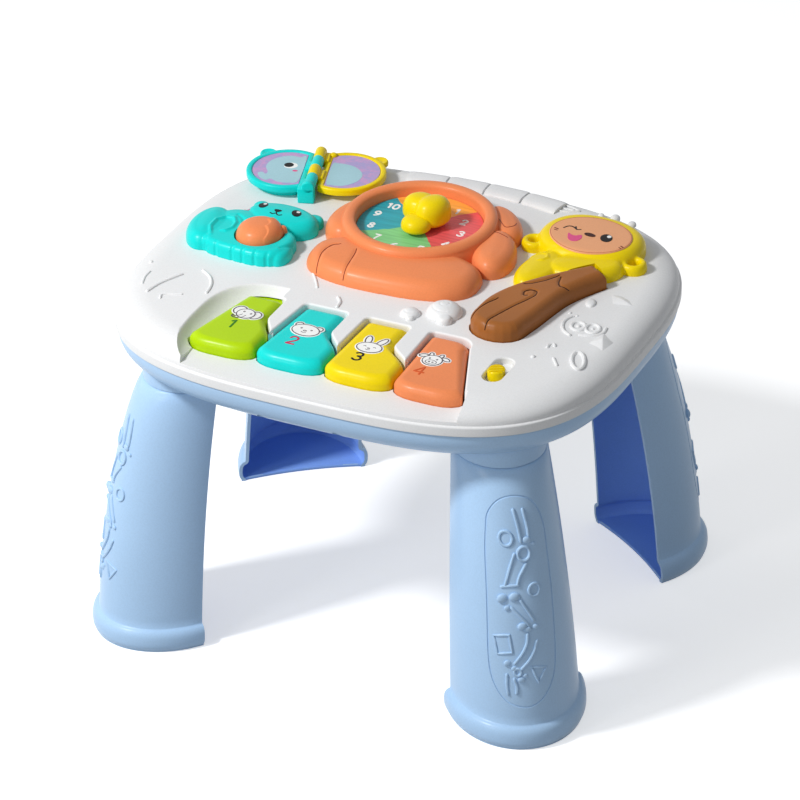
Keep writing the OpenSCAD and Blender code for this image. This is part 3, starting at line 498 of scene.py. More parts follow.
def uneven_gloss(tree, shader, noise, low, high, span=(0.0, 1.0)):
    """Roughness between low and high, as the noise goes through its span."""
    gloss = add_node(tree, "MapRange", From_Min=span[0], From_Max=span[1], To_Min=low, To_Max=high)
    link(tree, noise, "Fac", gloss, "Value")
    link(tree, gloss, "Result", shader, "Roughness")


def grain_bump(tree, shader, fine, coarse=None, depth=0.00002, coarse_depth=0.0003):
    """The skin of a mould: a very fine grain, and a slow unevenness below it."""
    last = None
    for noise, distance in ((fine, depth), (coarse, coarse_depth)):
        if noise is None:
            continue
        bump = add_node(tree, "Bump", Strength=0.5, Distance=distance)
        link(tree, noise, "Fac", bump, "Height")
        if last:
            link(tree, last, "Normal", bump, "Normal")
        last = bump
    link(tree, last, "Normal", shader, "Normal")


def plastic(name, colour, roughness=0.34, coat=0.06, spread=0.05, glow=0.02):
    """Moulded plastic: flow shades in its colour, uneven gloss and the fine grain of the mould."""
    m, tree, shader = new_material(name)
    flow = tones(tree, object_noise(tree, 14, 3), "Fac",
                 [(0.3, shade(colour, 1 - spread)), (0.7, shade(colour, 1 + spread * 0.6))])
    fleck = tones(tree, object_noise(tree, 900, 2), "Fac", [(0.35, (0.93, 0.93, 0.93)), (0.6, (1, 1, 1))])
    multiply(tree, flow, fleck, 0.6, shader)
    uneven_gloss(tree, shader, object_noise(tree, 55, 4), roughness - 0.03, roughness + 0.04, (0.3, 0.7))
    set_inputs(shader, Specular_IOR_Level=0.15, Coat_Weight=coat, Coat_Roughness=0.18, Subsurface_Weight=glow,
               Subsurface_Radius=(0.6, 0.5, 0.4), Subsurface_Scale=0.003)
    grain_bump(tree, shader, object_noise(tree, 1600, 2), object_noise(tree, 40, 2))
    return m


def metal(name, colour, roughness=0.28):
    """Bright metal with drawn streaks and small stains."""
    m, tree, shader = new_material(name)
    stain = tones(tree, object_noise(tree, 220, 5), "Fac", [(0.3, shade(colour, 0.82)), (0.7, colour)])
    link(tree, stain, "Color", shader, "Base Color")
    uneven_gloss(tree, shader, object_noise(tree, 1200, 3), roughness - 0.1, roughness + 0.15)
    set_inputs(shader, Metallic=1)
    grain_bump(tree, shader, object_noise(tree, 2400, 2), depth=0.00001)
    return m


def ink(name, colour):
    """Printed ink, also the finish of the dark lines that paint the shade in grooves: nearly even, with a faint
    mottle and a dull sheen.
    """
    return plastic(name, colour, roughness=0.45, coat=0.05, spread=0.1, glow=0)


white_plastic = plastic("white_cover_plastic", rgb(233, 233, 233), 0.42, coat=0.05, spread=0.012, glow=0.03)
green_plastic = plastic("green_key_plastic", rgb(178, 214, 4))
cyan_plastic = plastic("cyan_plastic", rgb(16, 216, 210))
yellow_plastic = plastic("yellow_plastic", rgb(242, 214, 2))
orange_plastic = plastic("orange_plastic", rgb(238, 140, 88), roughness=0.36)
brown_plastic = plastic("brown_log_plastic", rgb(164, 100, 46), spread=0.16, roughness=0.38)
blue_plastic = plastic("light_blue_plastic", rgb(176, 208, 240), roughness=0.32, spread=0.025)
# A deeper, more saturated blue for the faces inside the legs and the tops of their foot plates: painted shade on
# the same plastic as outside
inner_blue_painted_shade = plastic("inner_blue_painted_shade", rgb(140, 180, 248), roughness=0.34, spread=0.04)
face_plastic = plastic("peach_face_plastic", rgb(236, 168, 122))
black_ink = ink("black_ink", (0.004, 0.0037, 0.004))
white_ink = ink("white_ink", rgb(244, 244, 242))
brown_ink = ink("brown_ink", rgb(120, 62, 40))
pink_ink = ink("pink_ink", rgb(226, 88, 140))
grey_ink = ink("grey_ink", rgb(96, 88, 92))
steel = metal("bright_steel", (0.62, 0.62, 0.64))
dark_steel = metal("dark_zinc", (0.1, 0.11, 0.13))

# ---------- white cover ----------

# The scoop round the first key: how far it is drawn in, and how high above the shelf
SCOOP_LEVELS = ((13, 0), (10.5, 0.5), (7.6, 1.6), (5, 3.2), (2.8, 5.2), (1.1, 7.4), (0.1, 9), (-0.7, 9.7),
                (-2, 10.25))


def key_outline(i, d=0.0, steps=8):
    """Outline of key i, drawn in by d: round front corners and a back that narrows on its right."""
    r, wide = 8 - d * 0.5, 17 - d * 0.5
    x0, y0, y1 = KEY_LEFT + i * KEY_PITCH + d, KEY_FRONT + d, KEY_BACK - d
    x1 = KEY_LEFT + i * KEY_PITCH + KEY_W - d
    b0, b1 = KEY_BACK_LEFT[i] + d, KEY_BACK_RIGHT[i] - d
    quarter = angles(steps)
    pts = [(x0 + wide - wide * math.cos(f), y0 + r - r * math.sin(f)) for f in quarter]
    pts += [(x1 - wide + wide * math.sin(f), y0 + r - r * math.cos(f)) for f in quarter]
    if i < 3:
        pts += [(x1 + (b1 - x1) * s * s * (3 - 2 * s), KEY_WIDE_Y - 2 + (KEY_SIDE_Y - KEY_WIDE_Y) * s)
                for s in (k / steps for k in range(steps + 1))]
    c = 9 if i == 3 else 2
    pts += [polar((b1 - c, y1 - c), c, f) for f in quarter]
    pts += [(b0 + 2 - 2 * math.sin(f), y1 - 2 + 2 * math.cos(f)) for f in quarter[::2]]
    return pts


def flare(floor_z, grow_by=0.0, cove=0.8, round_r=1.6):
    """Levels of a cutter whose recess has a rounded floor edge and a rounded top edge."""
    low = [(floor_z + cove * (1 - math.sin(f)), grow_by - cove * (1 - math.cos(f))) for f in angles(2)[::-1]]
    top = PLATE_Z - round_r
    high = [(top + round_r * math.sin(f), grow_by + round_r * (1 - math.cos(f))) for f in angles(4)[:-1]]
    return low + high + [(PLATE_Z + 0.25, grow_by + round_r * 1.35)]


def slot_outline(x, y, length, width, steps=10):
    """A slot along Y with round ends."""
    half, r = (length - width) / 2, width / 2
    return [(x + sign * r * math.cos(f), y + sign * half + sign * r * math.sin(f))
            for sign in (1, -1) for f in angles(steps, math.pi)]


def log_outline(d=0.0, steps=10):
    """Outline of the log, drawn in by d: blunt at the back end, round at the front end."""
    fine = np.array(smooth_line(np.column_stack([LOG_LINE, LOG_HALF]), per=5))
    way = np.gradient(fine[:, :2], axis=0)
    way /= np.linalg.norm(way, axis=1)[:, None]
    side = np.stack([way[:, 1], -way[:, 0]], 1)
    reach = (fine[:, 2] - d)[:, None]
    right, left = fine[:, :2] + side * reach, fine[:, :2] - side * reach
    right[-1] -= way[-1] * d
    left[-1] -= way[-1] * d
    cap = [fine[0, :2] - way[0] * (15 - d) * math.sin(f) - side[0] * (LOG_HALF[0] - d) * math.cos(f)
           for f in angles(steps, math.pi)[1:-1]]
    return [tuple(q) for q in (*right, *left[::-1], *cap)]


def scoop_outline(d):
    """The oval scoop round the first key, drawn in by d: longer to the front, with a straight right side."""
    x0, y0 = KEY_LEFT + 31.7, KEY_BACK - 32
    outline = []
    for f in turns(80, 0.5):
        x, y = squircle(39.3 - d, 45.5 - d if f < math.pi else 69.7 - d * 0.6, 2.5, f)
        outline.append((min(x0 + x, KEY_LEFT + 36), y0 + y))
    return outline


def dome(d):
    """Height of the cover's rounded edge, d inwards from its foot."""
    return EDGE_Z + (PLATE_Z - EDGE_Z) * math.sin(math.acos(max(0.0, 1 - min(1.0, d / EDGE_W))))


def inside_rim(x, y, d):
    return abs(x / (TABLE_A - d)) ** TABLE_SQUARE + abs(y / (TABLE_B - d)) ** TABLE_SQUARE < 1


def in_key_bay(x, y):
    return abs(x) < KEY_BAY_X and KEY_BAY_FRONT < y < KEY_BAY_BACK


def cover_skin():
    """The cover as one wall: the domed plate with its lip, its recesses and its holes, open below."""
    lip_top = PART_Z + LIP_H
    rings = [rim(0.9, PART_Z), rim(0.25, PART_Z + 0.3), rim(0, PART_Z + 1), rim(0, lip_top - 1.5)]
    rings += [rim(0.8 * (1 - math.cos(f)), lip_top - 1.5 + 1.1 * math.sin(f)) for f in (0.5, 1.0, 1.45)]
    rings += [rim(LIP_GROOVE - 0.25, lip_top - 0.25), rim(LIP_GROOVE, lip_top)]
    rings += [rim(LIP_GROOVE + EDGE_W * (1 - math.cos(f)), EDGE_Z + (PLATE_Z - EDGE_Z) * math.sin(f))
              for f in angles(16)]
    lid = ring_loft(rings + [rim(LIP_GROOVE + EDGE_W + 2, PLATE_Z)])

    left, right, front = KEY_LEFT, KEY_LEFT + 3 * KEY_PITCH + KEY_W, -TABLE_B - 20
    mouth = [(left + 4, KEY_FRONT + 10), (left + 5.5, KEY_FRONT - 10), (left + 8, front),
             (right + 9, front), (right + 5, KEY_FRONT - 8), (right + 1.6, KEY_FRONT + 8)]
    through = [(PART_Z - 2, KEY_GAP), (SHELF_Z + 1, KEY_GAP)]
    log_walls = [(PART_Z - 2, 0.6), (PLATE_Z - 0.7, 0.6), (PLATE_Z - 0.2, 0.85), (PLATE_Z + 1, 2.2)]
    holes = [prism(log_outline(), log_walls),
             prism(slot_outline(*SWITCH, 19, 5), [(PART_Z - 2, 0), (PLATE_Z - 4, 0)]),
             upright(ACORN, PART_Z - 2, PLATE_Z + 2, 3.5),
             upright(DIAL, PART_Z - 2, PLATE_Z + 2, 4.1)]
    arms = [block((KEY_BACK_LEFT[i] - 0.8, ROD_Y - 9.5, SHELF_Z - 3.4),
                  (KEY_BACK_RIGHT[i] + 0.8, ROD_Y + 9, 237.1), 0) for i in range(4)]
    lid = cut(lid, level_loft(scoop_outline, [(d, SHELF_Z + up) for d, up in SCOOP_LEVELS]),
              prism(mouth, [(SHELF_Z, 0), (SHELF_Z + 4, 0.6), (PLATE_Z + 4, 3.5)]),
              *[prism(key_outline(i), flare(SHELF_Z, KEY_GAP + 0.7)) for i in range(4)],
              prism(slot_outline(*SWITCH, 31, 13), flare(PLATE_Z - 5, 0, 0.8, 1.2)),
              *[prism(key_outline(i, 0, 4), through) for i in range(4)],
              join(*holes), join(*arms))

    # open the underside, then shorten what hangs below the holes
    under = [f for f in lid.faces if f.calc_center_median().z < PART_Z + 0.02 and f.normal.z < -0.9]
    bmesh.ops.delete(lid, geom=under, context="FACES")
    for level, bay, d in ((SHELF_Z - WALL, True, 7), (UNDER_Z, False, 30)):
        faces = []
        for f in lid.faces:
            x, y, _ = f.calc_center_median()
            if in_key_bay(x, y) == bay and inside_rim(x, y, d):
                faces.append(f)
        geom = set(faces) | {e for f in faces for e in f.edges} | {v for f in faces for v in f.verts}
        bmesh.ops.bisect_plane(lid, geom=list(geom), plane_co=(0, 0, level), plane_no=(0, 0, 1),
                               clear_inner=True)
    return thicken(lid)


def branch():
    """The raised branch along the back edge, in segments on one wide arc, with knots and leaves."""
    section = [(-9.4, -0.8), (9.4, -4.2), (9.5, -1.2), (8.4, 0.3), (6.8, 1.6), (4.8, 2.4), (2, 2.75),
               (-2, 2.8), (-5, 2.75), (-7.4, 2.2), (-9, 1.0), (-9.5, 0.2)]
    parts = []
    for k in range(4):
        rings = []
        for s in (j / 12 for j in range(13)):
            near_end = 1 - math.sin(math.pi * s)
            swell = 1 + 0.05 * math.cos(math.pi * s + k) - 0.05 * near_end ** 6
            low = 0.25 * near_end ** 8
            f = math.radians(78.8 + 5.8 * k) + math.radians(5.5) * s
            rings.append([(*polar((BRANCH_X, BRANCH_Y), BRANCH_R + r * swell, f),
                           PLATE_Z + z - (low if z > 0 else 0)) for r, z in section])
        parts.append(ring_loft(rings))
    parts += [button(x, y, PLATE_Z, r, 0.75, 1, 6, 24)
              for x, y, r in ((100.2, 131.9, 3.4), (114, 128.1, 3), (90, 131.5, 2.2))]
    leaves = [((49, 131), (57, 126.5), (66, 127), (74, 131.5)),
              ((74, 131.5), (66, 134.5), (57, 135), (49, 131)),
              ((49, 131), (60, 130.6), (70, 131.2))]
    parts += [tube_along(smooth_line([(*p, PLATE_Z + 0.1) for p in leaf], 5), 0.75) for leaf in leaves]
    return join(*parts)


def mushrooms():
    """Two moulded mushrooms that lie on the plate, each a domed cap and a short stem."""
    parts = []
    lean = math.radians(25)
    for x, y, r in ((49, -34, 12), (29, -44, 6.6)):
        cap = [(0, -0.5), (r * 0.985, -0.5), (r, 0.4)]
        cap += [(r * math.cos(f), 0.4 + r * 0.62 * math.sin(f)) for f in angles(14)[1:]]
        parts.append(spun(cap, 64, (x, y, PLATE_Z)))
        foot, q = (x + r * 0.95 * math.sin(lean), y - r * 0.95 * math.cos(lean)), r * 0.42
        parts.append(dome_cap(foot, q, q, q * 1.05, 0, PLATE_Z - 0.5, 0.6, 36, 8))
    body = melt(0.45, 1, *parts)
    spots = (((49, -34), 7.6, 3.4, 5.4, 14), ((49, -33), 3.2, 0, TAU, 20), ((29, -44), 3.6, 3.6, 5.6, 12))
    grooves = [[polar(c, r, f) for f in np.linspace(start, end, n)] for c, r, start, end, n in spots]
    carve(body, grooves, 0.9, 0.35)
    return body


def surface_z(x, y):
    """Height of the plain cover at a place."""
    low, high = 0.0, 60.0
    for _ in range(30):
        d = (low + high) / 2
        if inside_rim(x, y, LIP_GROOVE + d):
            low = d
        else:
            high = d
    return dome(low)


def on_cover(points):
    return [(x, y, surface_z(x, y) + 0.05) for x, y in points]


# What is moulded into the plate: strokes (points, radius), rings (x, y, half sizes, turn, radius),
# dots (x, y, radius) and flat cones (corners, tip, rise)
COVER_STROKES = (
    (((-151.3, -78.3), (-154.1, -69.1), (-154.3, -61.7)), 0.9),
    (((-143.1, -86.5), (-140.4, -73.5), (-132.8, -56.7)), 1.25),
    (((-130.8, -91.3), (-131.5, -85.8), (-120.0, -80.7)), 0.9),
    (((-122.6, -46.2), (-114.5, -52), (-109.5, -59), (-107, -66), (-106, -73)), 1.1),
    (((-54, -19.5), (-47.5, -28.3), (-42.3, -36.6)), 0.9),
    (((-24.1, -42.6), (-20.0, -48.1), (-18.8, -54.9)), 1.2),
    (((127.9, -47.4), (127.7, -43.4), (129.9, -41.4), (132, -44)), 1.1),
    (((136.9, -57.9), (142.8, -65.9)), 1.0),
    (((135.2, -27.2), (128.9, -22.9), (125.2, -16.2), (124.6, -9.4), (126.5, -4.2)), 1.2),
    (((140.5, -24), (148, -22), (153.5, -16.5), (153, -9)), 1.1))
COVER_RINGS = ((135.5, -14.1, 4.6, 5.6, 26, 1.2), (145.3, -13.3, 4.6, 5.8, 26, 1.2),
               (152.5, -54.4, 4.1, 10.5, 24, 1.4))
COVER_DOTS = ((-160.2, -49.3, 1.5), (124.3, -61.6, 1.6), (123.6, -0.2, 1.2), (127.3, -3.9, 0.9),
              (129.3, -1.8, 1.0), (135.5, -14.1, 1.6), (145.3, -13.3, 1.2))
COVER_CONES = (
    (((136, 34.7), (143.7, 36.2), (152.4, 32.3), (160.4, 24.4), (153.7, 23.6), (142.9, 21.1)),
     (150, 27), 1.9),
    (((148.7, -31.8), (152.7, -12.5), (165, -22), (162.2, -37.4)), (158, -27), 3.2))


def cover_ornaments():
    """Raised strokes, rings, dots and cones moulded into the plate."""
    parts = [tube_along(on_cover(smooth_line(points)), r) for points, r in COVER_STROKES]
    parts += [tube_along(on_cover(blob((x, y), a, b, turn, 2, 28)), r, closed=True)
              for x, y, a, b, turn, r in COVER_RINGS]
    parts += [button(x, y, surface_z(x, y), r, 0.8, 0.6, 5, 20) for x, y, r in COVER_DOTS]
    parts.append(dome_cap((131, 17), 3.4, 5.4, 2.2, 20, surface_z(131, 17) - 0.3, 0.7, 40, 8))
    for corners, tip, rise in COVER_CONES:
        bm = bmesh.new()
        base = [bm.verts.new((x, y, surface_z(x, y) - 0.5)) for x, y in corners]
        bm.faces.new(base)
        top = bmesh.ops.poke(bm, faces=bm.faces[:])["verts"][0]
        top.co = (*tip, surface_z(*tip) + rise)
        bm.faces.new(base[::-1])
        bmesh.ops.recalc_face_normals(bm, faces=bm.faces)
        bevelled(bm, [*top.link_edges, top], 0.5, 2)
        parts.append(bm)
    return join(*parts)


level_shading(add_piece("cover_shell", cover_skin(), white_plastic, stands_for=["top_cover"],
                        slot="cover_plastic", smooth=32))
add_piece("cover_branch", branch(), white_plastic, slot="cover_plastic", smooth=50)
add_piece("cover_mushrooms", mushrooms(), white_plastic, slot="cover_plastic", smooth=60)
add_piece("cover_ornaments", cover_ornaments(), white_plastic, slot="cover_plastic")

# ---------- tray and legs ----------

LEG_TURN = math.radians(53)
LEG_N = np.array([math.cos(LEG_TURN), math.sin(LEG_TURN)])
LEG_T = np.array([LEG_N[1], -LEG_N[0]])
LEG_LOW, LEG_HIGH = np.array([127.5, 98.5]), np.array([109.5, 83])
FOOT_TOP = 16.6
FOOT_LEVELS = (0, 0.35, 0.9, 1.8, 3, 4.5, 6.3, 8.3, 10.3, 12, 13.4, 14.6, 15.5, 16.1, 16.55, 17.2)
# Twigs, knots and small figures on the leg, as (place across, height)
LEG_FRAME = ((-22, 154), (-20, 163), (-14, 171), (-7, 175), (1, 175.5), (9, 172), (15, 164), (19, 152),
             (20, 135), (21, 112), (21, 89), (20.5, 66), (18, 50), (11, 38), (3, 32), (-5, 31), (-15, 34.5),
             (-22, 43), (-26, 54), (-27, 69), (-26, 93), (-25, 116), (-24, 139))
LEG_STROKES = (((-2.6, 167.5), (-0.6, 157), (0.6, 146)), ((3.6, 167), (5.4, 157), (6, 149)),
               ((-4.2, 139), (-8.5, 128), (-11.6, 118)), ((3, 132), (-2, 124), (-4, 117.5)),
               ((-14.5, 116.5), (-9, 117.6), (-3, 118)), ((-9, 103), (-4, 97), (2, 89.5)),
               ((-3, 108), (1, 101), (5.5, 92)), ((0.5, 84), (-0.5, 77), (-4, 70), (-9.2, 63)),
               ((6.5, 78), (4, 71), (0, 64.5), (-5, 59)), ((-14.6, 55), (-15, 47), (-14.4, 40)),
               ((-10, 52), (-8.5, 46), (-9, 41)))
LEG_RINGS = ((-9, 149, 4.2, 4.8, 1.1), (7, 113.5, 3.8, 4.2, 1.0), (1.8, 138.5, 4, 4.6, 1.2),
             (-7.5, 57, 2.2, 2.6, 1.1))
LEG_KNOTS = ((4.2, 147, 2.6), (8.8, 143.5, 1.4), (-14, 108.5, 3.6), (-6.2, 110, 3.4), (-11.2, 102.2, 2.2),
             (-2.6, 89.4, 2.9), (0.8, 87.2, 2.2), (6, 88, 1.9), (-13.6, 63, 2.5), (-9.4, 59.5, 2),
             (-5.2, 51.4, 2.3), (-2.6, 54.2, 1.6))
LEG_POLYGONS = (((-22, 81.5), (-11.5, 83.6), (-10.2, 71), (-20.2, 69)), ((1.6, 60), (12.2, 57.4), (6, 48)))


def leg_rise(z):
    return min(z / COLLAR_Z, 1)


def leg_mid(z):
    s = leg_rise(z)
    return LEG_LOW * (1 - s) + LEG_HIGH * s + LEG_N * 16 * s * (1 - s)


def leg_arc(z, off=0.0, start=0.0, end=math.pi, n=64):
    """The outer curve of the C at height z, moved outwards by off, from one end to the other."""
    half = 31.5 + 11.5 * (1 - leg_rise(z) ** 1.5)
    deep = 37 + 17 * math.sqrt(1 - leg_rise(z) ** 2 * 0.999)
    f = np.linspace(start, end, n + 1)[:, None]
    return leg_mid(z) + LEG_T * (half + off) * np.cos(f) + LEG_N * (deep + off) * np.sin(f)


def d_outline(d, n=64):
    """The D of the leg's top, drawn in by d on all sides."""
    start = math.asin(min(1, d / 37))
    return [tuple(q) for q in leg_arc(COLLAR_Z, -d, start, math.pi - start, n)]


def d_wall(d, levels):
    """A wall along the inside of the leg's top, from d inwards."""
    return prism(d_outline(d, 40) + d_outline(2 * WALL + 0.3, 40)[::-1], levels)


def foot_growth(z):
    """How far the rounded rim of the foot, or the drawn-in top edge of the leg, stands out at height z."""
    if z > COLLAR_Z - 0.6:
        return -0.45 * (z - COLLAR_Z + 0.6) / 0.6
    t = max(-0.93, min(1, (z - 8.3) / 8.3))
    return 4.5 * max(0.0, 1 - abs(t) ** 3) ** 0.62 if z < FOOT_TOP else 0


def to_corner(bm, sx, sy):
    """Mirrors a shape made at the back right corner to another corner."""
    bmesh.ops.scale(bm, vec=(sx, sy, 1), verts=bm.verts)
    if sx * sy < 0:
        bmesh.ops.reverse_faces(bm, faces=bm.faces)
    return bm


def leg_surface(points, lift=0.0):
    """Points on the outer face of the leg, from their places across it and their heights."""
    out = []
    for s, z in points:
        line = leg_arc(z, lift, n=90)
        run = np.concatenate([[0], np.cumsum(np.linalg.norm(np.diff(line, axis=0), axis=1))])
        run -= run[45]
        out.append((np.interp(s, run, line[:, 0]), np.interp(s, run, line[:, 1]), z))
    return out


def leg_relief(hand):
    """The moulded twigs, rings, polygons and knots on the leg's face; hand is -1 where it is mirrored."""
    def on_leg(points):
        return leg_surface([(s * hand, z) for s, z in points])

    relief = [tube_along(on_leg(smooth_line(points, 5)), 1.1) for points in LEG_STROKES]
    for s, z, a, b, r in LEG_RINGS:
        ring = [(s + a * math.cos(f), z + b * math.sin(f)) for f in turns(24)]
        relief.append(tube_along(on_leg(ring), r, closed=True))
    for points in LEG_POLYGONS:
        corners = [np.array(p, float) for p in points]
        line = [a + (b - a) * t for a, b in zip(corners, corners[1:] + corners[:1])
                for t in (0, 0.25, 0.5, 0.75)]
        relief.append(tube_along(on_leg(line), 0.95, closed=True))
    for s, z, r in LEG_KNOTS:
        knot = bmesh.new()
        bmesh.ops.create_uvsphere(knot, u_segments=16, v_segments=10, radius=r * 1.15)
        bmesh.ops.scale(knot, vec=(1, 0.5, 0.85), verts=knot.verts)
        relief.append(set_down(knot, on_leg([(s, z)])[0], math.atan2(LEG_T[1], LEG_T[0])))
    return relief


def leg_skin(sx, sy):
    """One leg: a C-shaped shell with a rounded foot, a foot plate, a tenon and the relief on its face."""
    foot_z = FOOT_LEVELS[-1]
    levels = [*FOOT_LEVELS, *(foot_z + (COLLAR_Z - 0.9 - foot_z) * k / 30 for k in range(1, 31)),
              COLLAR_Z - 0.4, COLLAR_Z]
    shell = ring_loft([[(*q, z) for q in leg_arc(z, foot_growth(z))] for z in levels], closed=False)
    outside = Vector((*(leg_mid(90) + LEG_N * 50), 90))
    face = min(shell.faces, key=lambda f: (f.calc_center_median() - outside).length)
    if face.normal.dot(Vector((*LEG_N, 0))) < 0:
        bmesh.ops.reverse_faces(shell, faces=shell.faces)
    shell = thicken(shell)
    hand = sx * sy
    if sx > 0:
        frame_line = [(s * hand, z) for s, z in smooth_line(LEG_FRAME, 5, True)]
        shell = cut(shell, tube_along(leg_surface(frame_line, 0.1), 0.75, 6, closed=True))

    # foot plate, with a chord that curves in
    arc = leg_arc(1, 2.6, n=48)
    a, b = arc[0], arc[-1]
    chord = [a + (b - a) * t + LEG_N * 4 * (1 - (2 * t - 1) ** 2) for t in np.linspace(1, 0, 18)[1:-1]]
    plate = prism([tuple(q) for q in (*arc, *chord)], [(0, -0.3), (0.4, 0), (WALL - 0.5, 0), (WALL, -0.4)])
    shoulder = d_wall(1.6, [(COLLAR_Z - 5, 0), (COLLAR_Z - 0.2, 0)])
    tenon = d_wall(WALL + 0.3, [(COLLAR_Z - 1, 0), (COLLAR_Z + 18, 0), (COLLAR_Z + 18.7, -0.5)])

    # the faces that look inwards take the second finish, a deeper blue that paints the shade inside the leg
    for part in (shell, plate):
        part.normal_update()
        for f in part.faces:
            c = f.calc_center_median()
            away = Vector((*(np.array(c[:2]) - leg_mid(c.z)), 0))
            inward = f.normal.dot(away.normalized()) < -0.15
            f.material_index = int(inward or (part is plate and f.normal.z > 0.9))
    return to_corner(join(shell, plate, shoulder, tenon, *leg_relief(hand)), sx, sy)


for sx, sy in CORNERS:
    leg = f"leg_{'front' if sy < 0 else 'back'}_{'left' if sx < 0 else 'right'}"
    add_piece(f"{leg}_shell", leg_skin(sx, sy), (blue_plastic, inner_blue_painted_shade), stands_for=[leg],
              slot="base_plastic", smooth=45)


def head_z(x, y):
    """Height of a case screw's head; the front two sit deeper, since the tray rounds up over them."""
    return FLOOR_Z + (7.6 if (x, y) in FRONT_SPOTS else 4)


def tray_skin():
    """The tray: a bowl with four leg sockets, a battery door seat, screw wells and a speaker grille."""
    def bend(d, r, steps):
        return [(d + r * (1 - math.sin(f)), PART_Z - 2 - r * math.cos(f)) for f in angles(steps)]

    wall = 1.2 + WALL
    section = [(24, FLOOR_Z), *bend(1.2, 20, 12), (1.2, PART_Z - 0.6), (1.6, PART_Z),
               (wall, PART_Z), (wall, PART_Z - 2), *bend(wall, 17.6, 8)[-2::-1]]
    bowl = ring_loft([rim(d, z, 160) for d, z in section])
    levels = [(0.5, COLLAR_Z + 0.1), (0, COLLAR_Z + 0.5), (0, FLOOR_Z + 6), (0, FLOOR_Z + 12),
              (WALL, FLOOR_Z + 12), (WALL, COLLAR_Z + 0.5), (WALL - 0.3, COLLAR_Z + 0.1)]
    hollow = [(WALL * 0.5, FLOOR_Z - 4), (WALL * 0.5, FLOOR_Z + 11)]
    collars = [to_corner(closed_up(level_loft(d_outline, levels + levels[:1], False)), *at) for at in CORNERS]
    sockets = [to_corner(level_loft(d_outline, hollow), *at) for at in CORNERS]
    seat = block((-33, 17.2, FLOOR_Z - 2), (33, 62.8, FLOOR_Z + 2), 0)
    wells = [upright(at, FLOOR_Z - 2, head_z(*at) + 3, 3.3) for at in CASE_SPOTS]
    grille = [upright(polar((-4, -26), r, f), FLOOR_Z - 2, FLOOR_Z + 4, 1.3, 12)
              for r in (0, 6, 12, 18) for f in turns(r or 1)]
    return join(cut(bowl, join(*sockets, seat, *wells, *grille)), *collars)


level_shading(add_piece("tray_shell", tray_skin(), blue_plastic, stands_for=["base_tray"],
                        slot="base_plastic", smooth=35))

# ---------- printed and moulded details that follow a surface ----------

# Strokes of the digits, each a smooth line in a box 6 wide and 10 high
DIGIT_PITCH = 7.4
DIGITS = {
    "0": [[(0, 5), (2.4, 3.4), (3, 0), (2.4, -3.4), (0, -5), (-2.4, -3.4), (-3, 0), (-2.4, 3.4), (0, 5)]],
    "1": [[(-2, 3), (0.4, 5)], [(0.4, 5), (0.4, -5)]],
    "2": [[(-2.8, 2.6), (-1.6, 4.6), (1, 4.9), (2.8, 3), (2.2, 0.6), (-0.4, -2.2), (-3, -4.8)],
          [(-3, -4.8), (3, -4.8)]],
    "3": [[(-2.6, 3.6), (-0.8, 4.9), (1.6, 4.6), (2.6, 2.8), (1.8, 0.9), (-0.4, 0.3)],
          [(-0.4, 0.3), (2, -0.4), (3, -2.5), (1.8, -4.5), (-0.6, -5), (-2.8, -3.6)]],
    "4": [[(1.4, -5), (1.4, 5)], [(1.4, 5), (-3.6, -1.9)], [(-3.6, -1.9), (3.6, -1.9)]],
    "5": [[(2.6, 4.8), (-1.9, 4.8)], [(-1.9, 4.8), (-2.4, 0.9)],
          [(-2.4, 0.9), (0.4, 1.5), (2.8, -0.4), (2.6, -3.4), (0.4, -5), (-2.6, -4)]],
    "6": [[(2.2, 4.6), (-0.6, 3.4), (-2.8, 0.2), (-2.7, -3), (0, -5), (2.7, -3), (2, -0.4), (-0.4, 0.4),
           (-2.6, -1.4)]],
    "7": [[(-2.9, 4.8), (2.9, 4.8)], [(2.9, 4.8), (0.6, 0.4), (-0.8, -5)]],
    "8": [[(0, 0.4), (-2.3, 2.6), (0, 5), (2.3, 2.6), (0, 0.4), (-2.9, -2.3), (0, -5), (2.9, -2.3),
           (0, 0.4)]],
    "9": [[(-2.2, -4.6), (0.6, -3.4), (2.8, -0.2), (2.7, 3), (0, 5), (-2.7, 3), (-2, 0.4), (0.4, -0.4),
           (2.6, 1.4)]]}


def height_over(trees, at):
    """The height of the highest skin at a place, or of the plate where there is none."""
    hits = [tree.ray_cast(Vector((at[0], at[1], 400)), Vector((0, 0, -1)))[0] for tree in trees]
    return max([h.z for h in hits if h], default=PLATE_Z)


def drape(skin, *details):
    """Lays details, whose heights count from zero, on the upper side of a skin."""
    trees = [BVHTree.FromBMesh(skin)]
    for detail in details:
        for v in detail.verts:
            v.co.z += height_over(trees, v.co)
    return join(*details)


def seam(points, r, *under):
    """A thin dark line that paints the shade in a groove; it follows a skin, also down its sides, and stops at
    its foot.
    """
    trees = [BVHTree.FromBMesh(skin) for skin in under]
    line = [Vector((*q, height_over(trees, q))) for q in smooth_line(points, 14)]
    line = [q for q in line if q.z > PLATE_Z + 0.4]
    even = [line[0]]
    for q in line[1:]:
        if (q - even[-1]).length > 0.5:
            even.append(q)
    return tube_along(even, r)


def patch(outline, h=0.2, rings=4):
    """A thin flat shape with a soft edge, in rings so that it can follow a curved surface."""
    pts = np.array(outline, float)
    mid = pts.mean(axis=0)
    levels = [(1, -0.25), (1, h * 0.6), (0.985, h)]
    levels += [(0.97 * (1 - (k + 1) / (rings + 1)), h) for k in range(rings)]
    return level_loft(lambda k: mid + (pts - mid) * k, levels)


def oval(c, a, b, turn=0, h=0.2, n=32):
    return patch(blob(c, a, b, turn, 2, n), h)


def stroke(points, r=0.4, h=0.2, per=6, closed=False):
    """A flat printed line along points."""
    bm = tube_along([(*q, 0) for q in smooth_line(points, per, closed)], r, 8, closed)
    bmesh.ops.scale(bm, vec=(1, 1, h / r), verts=bm.verts)
    return bm


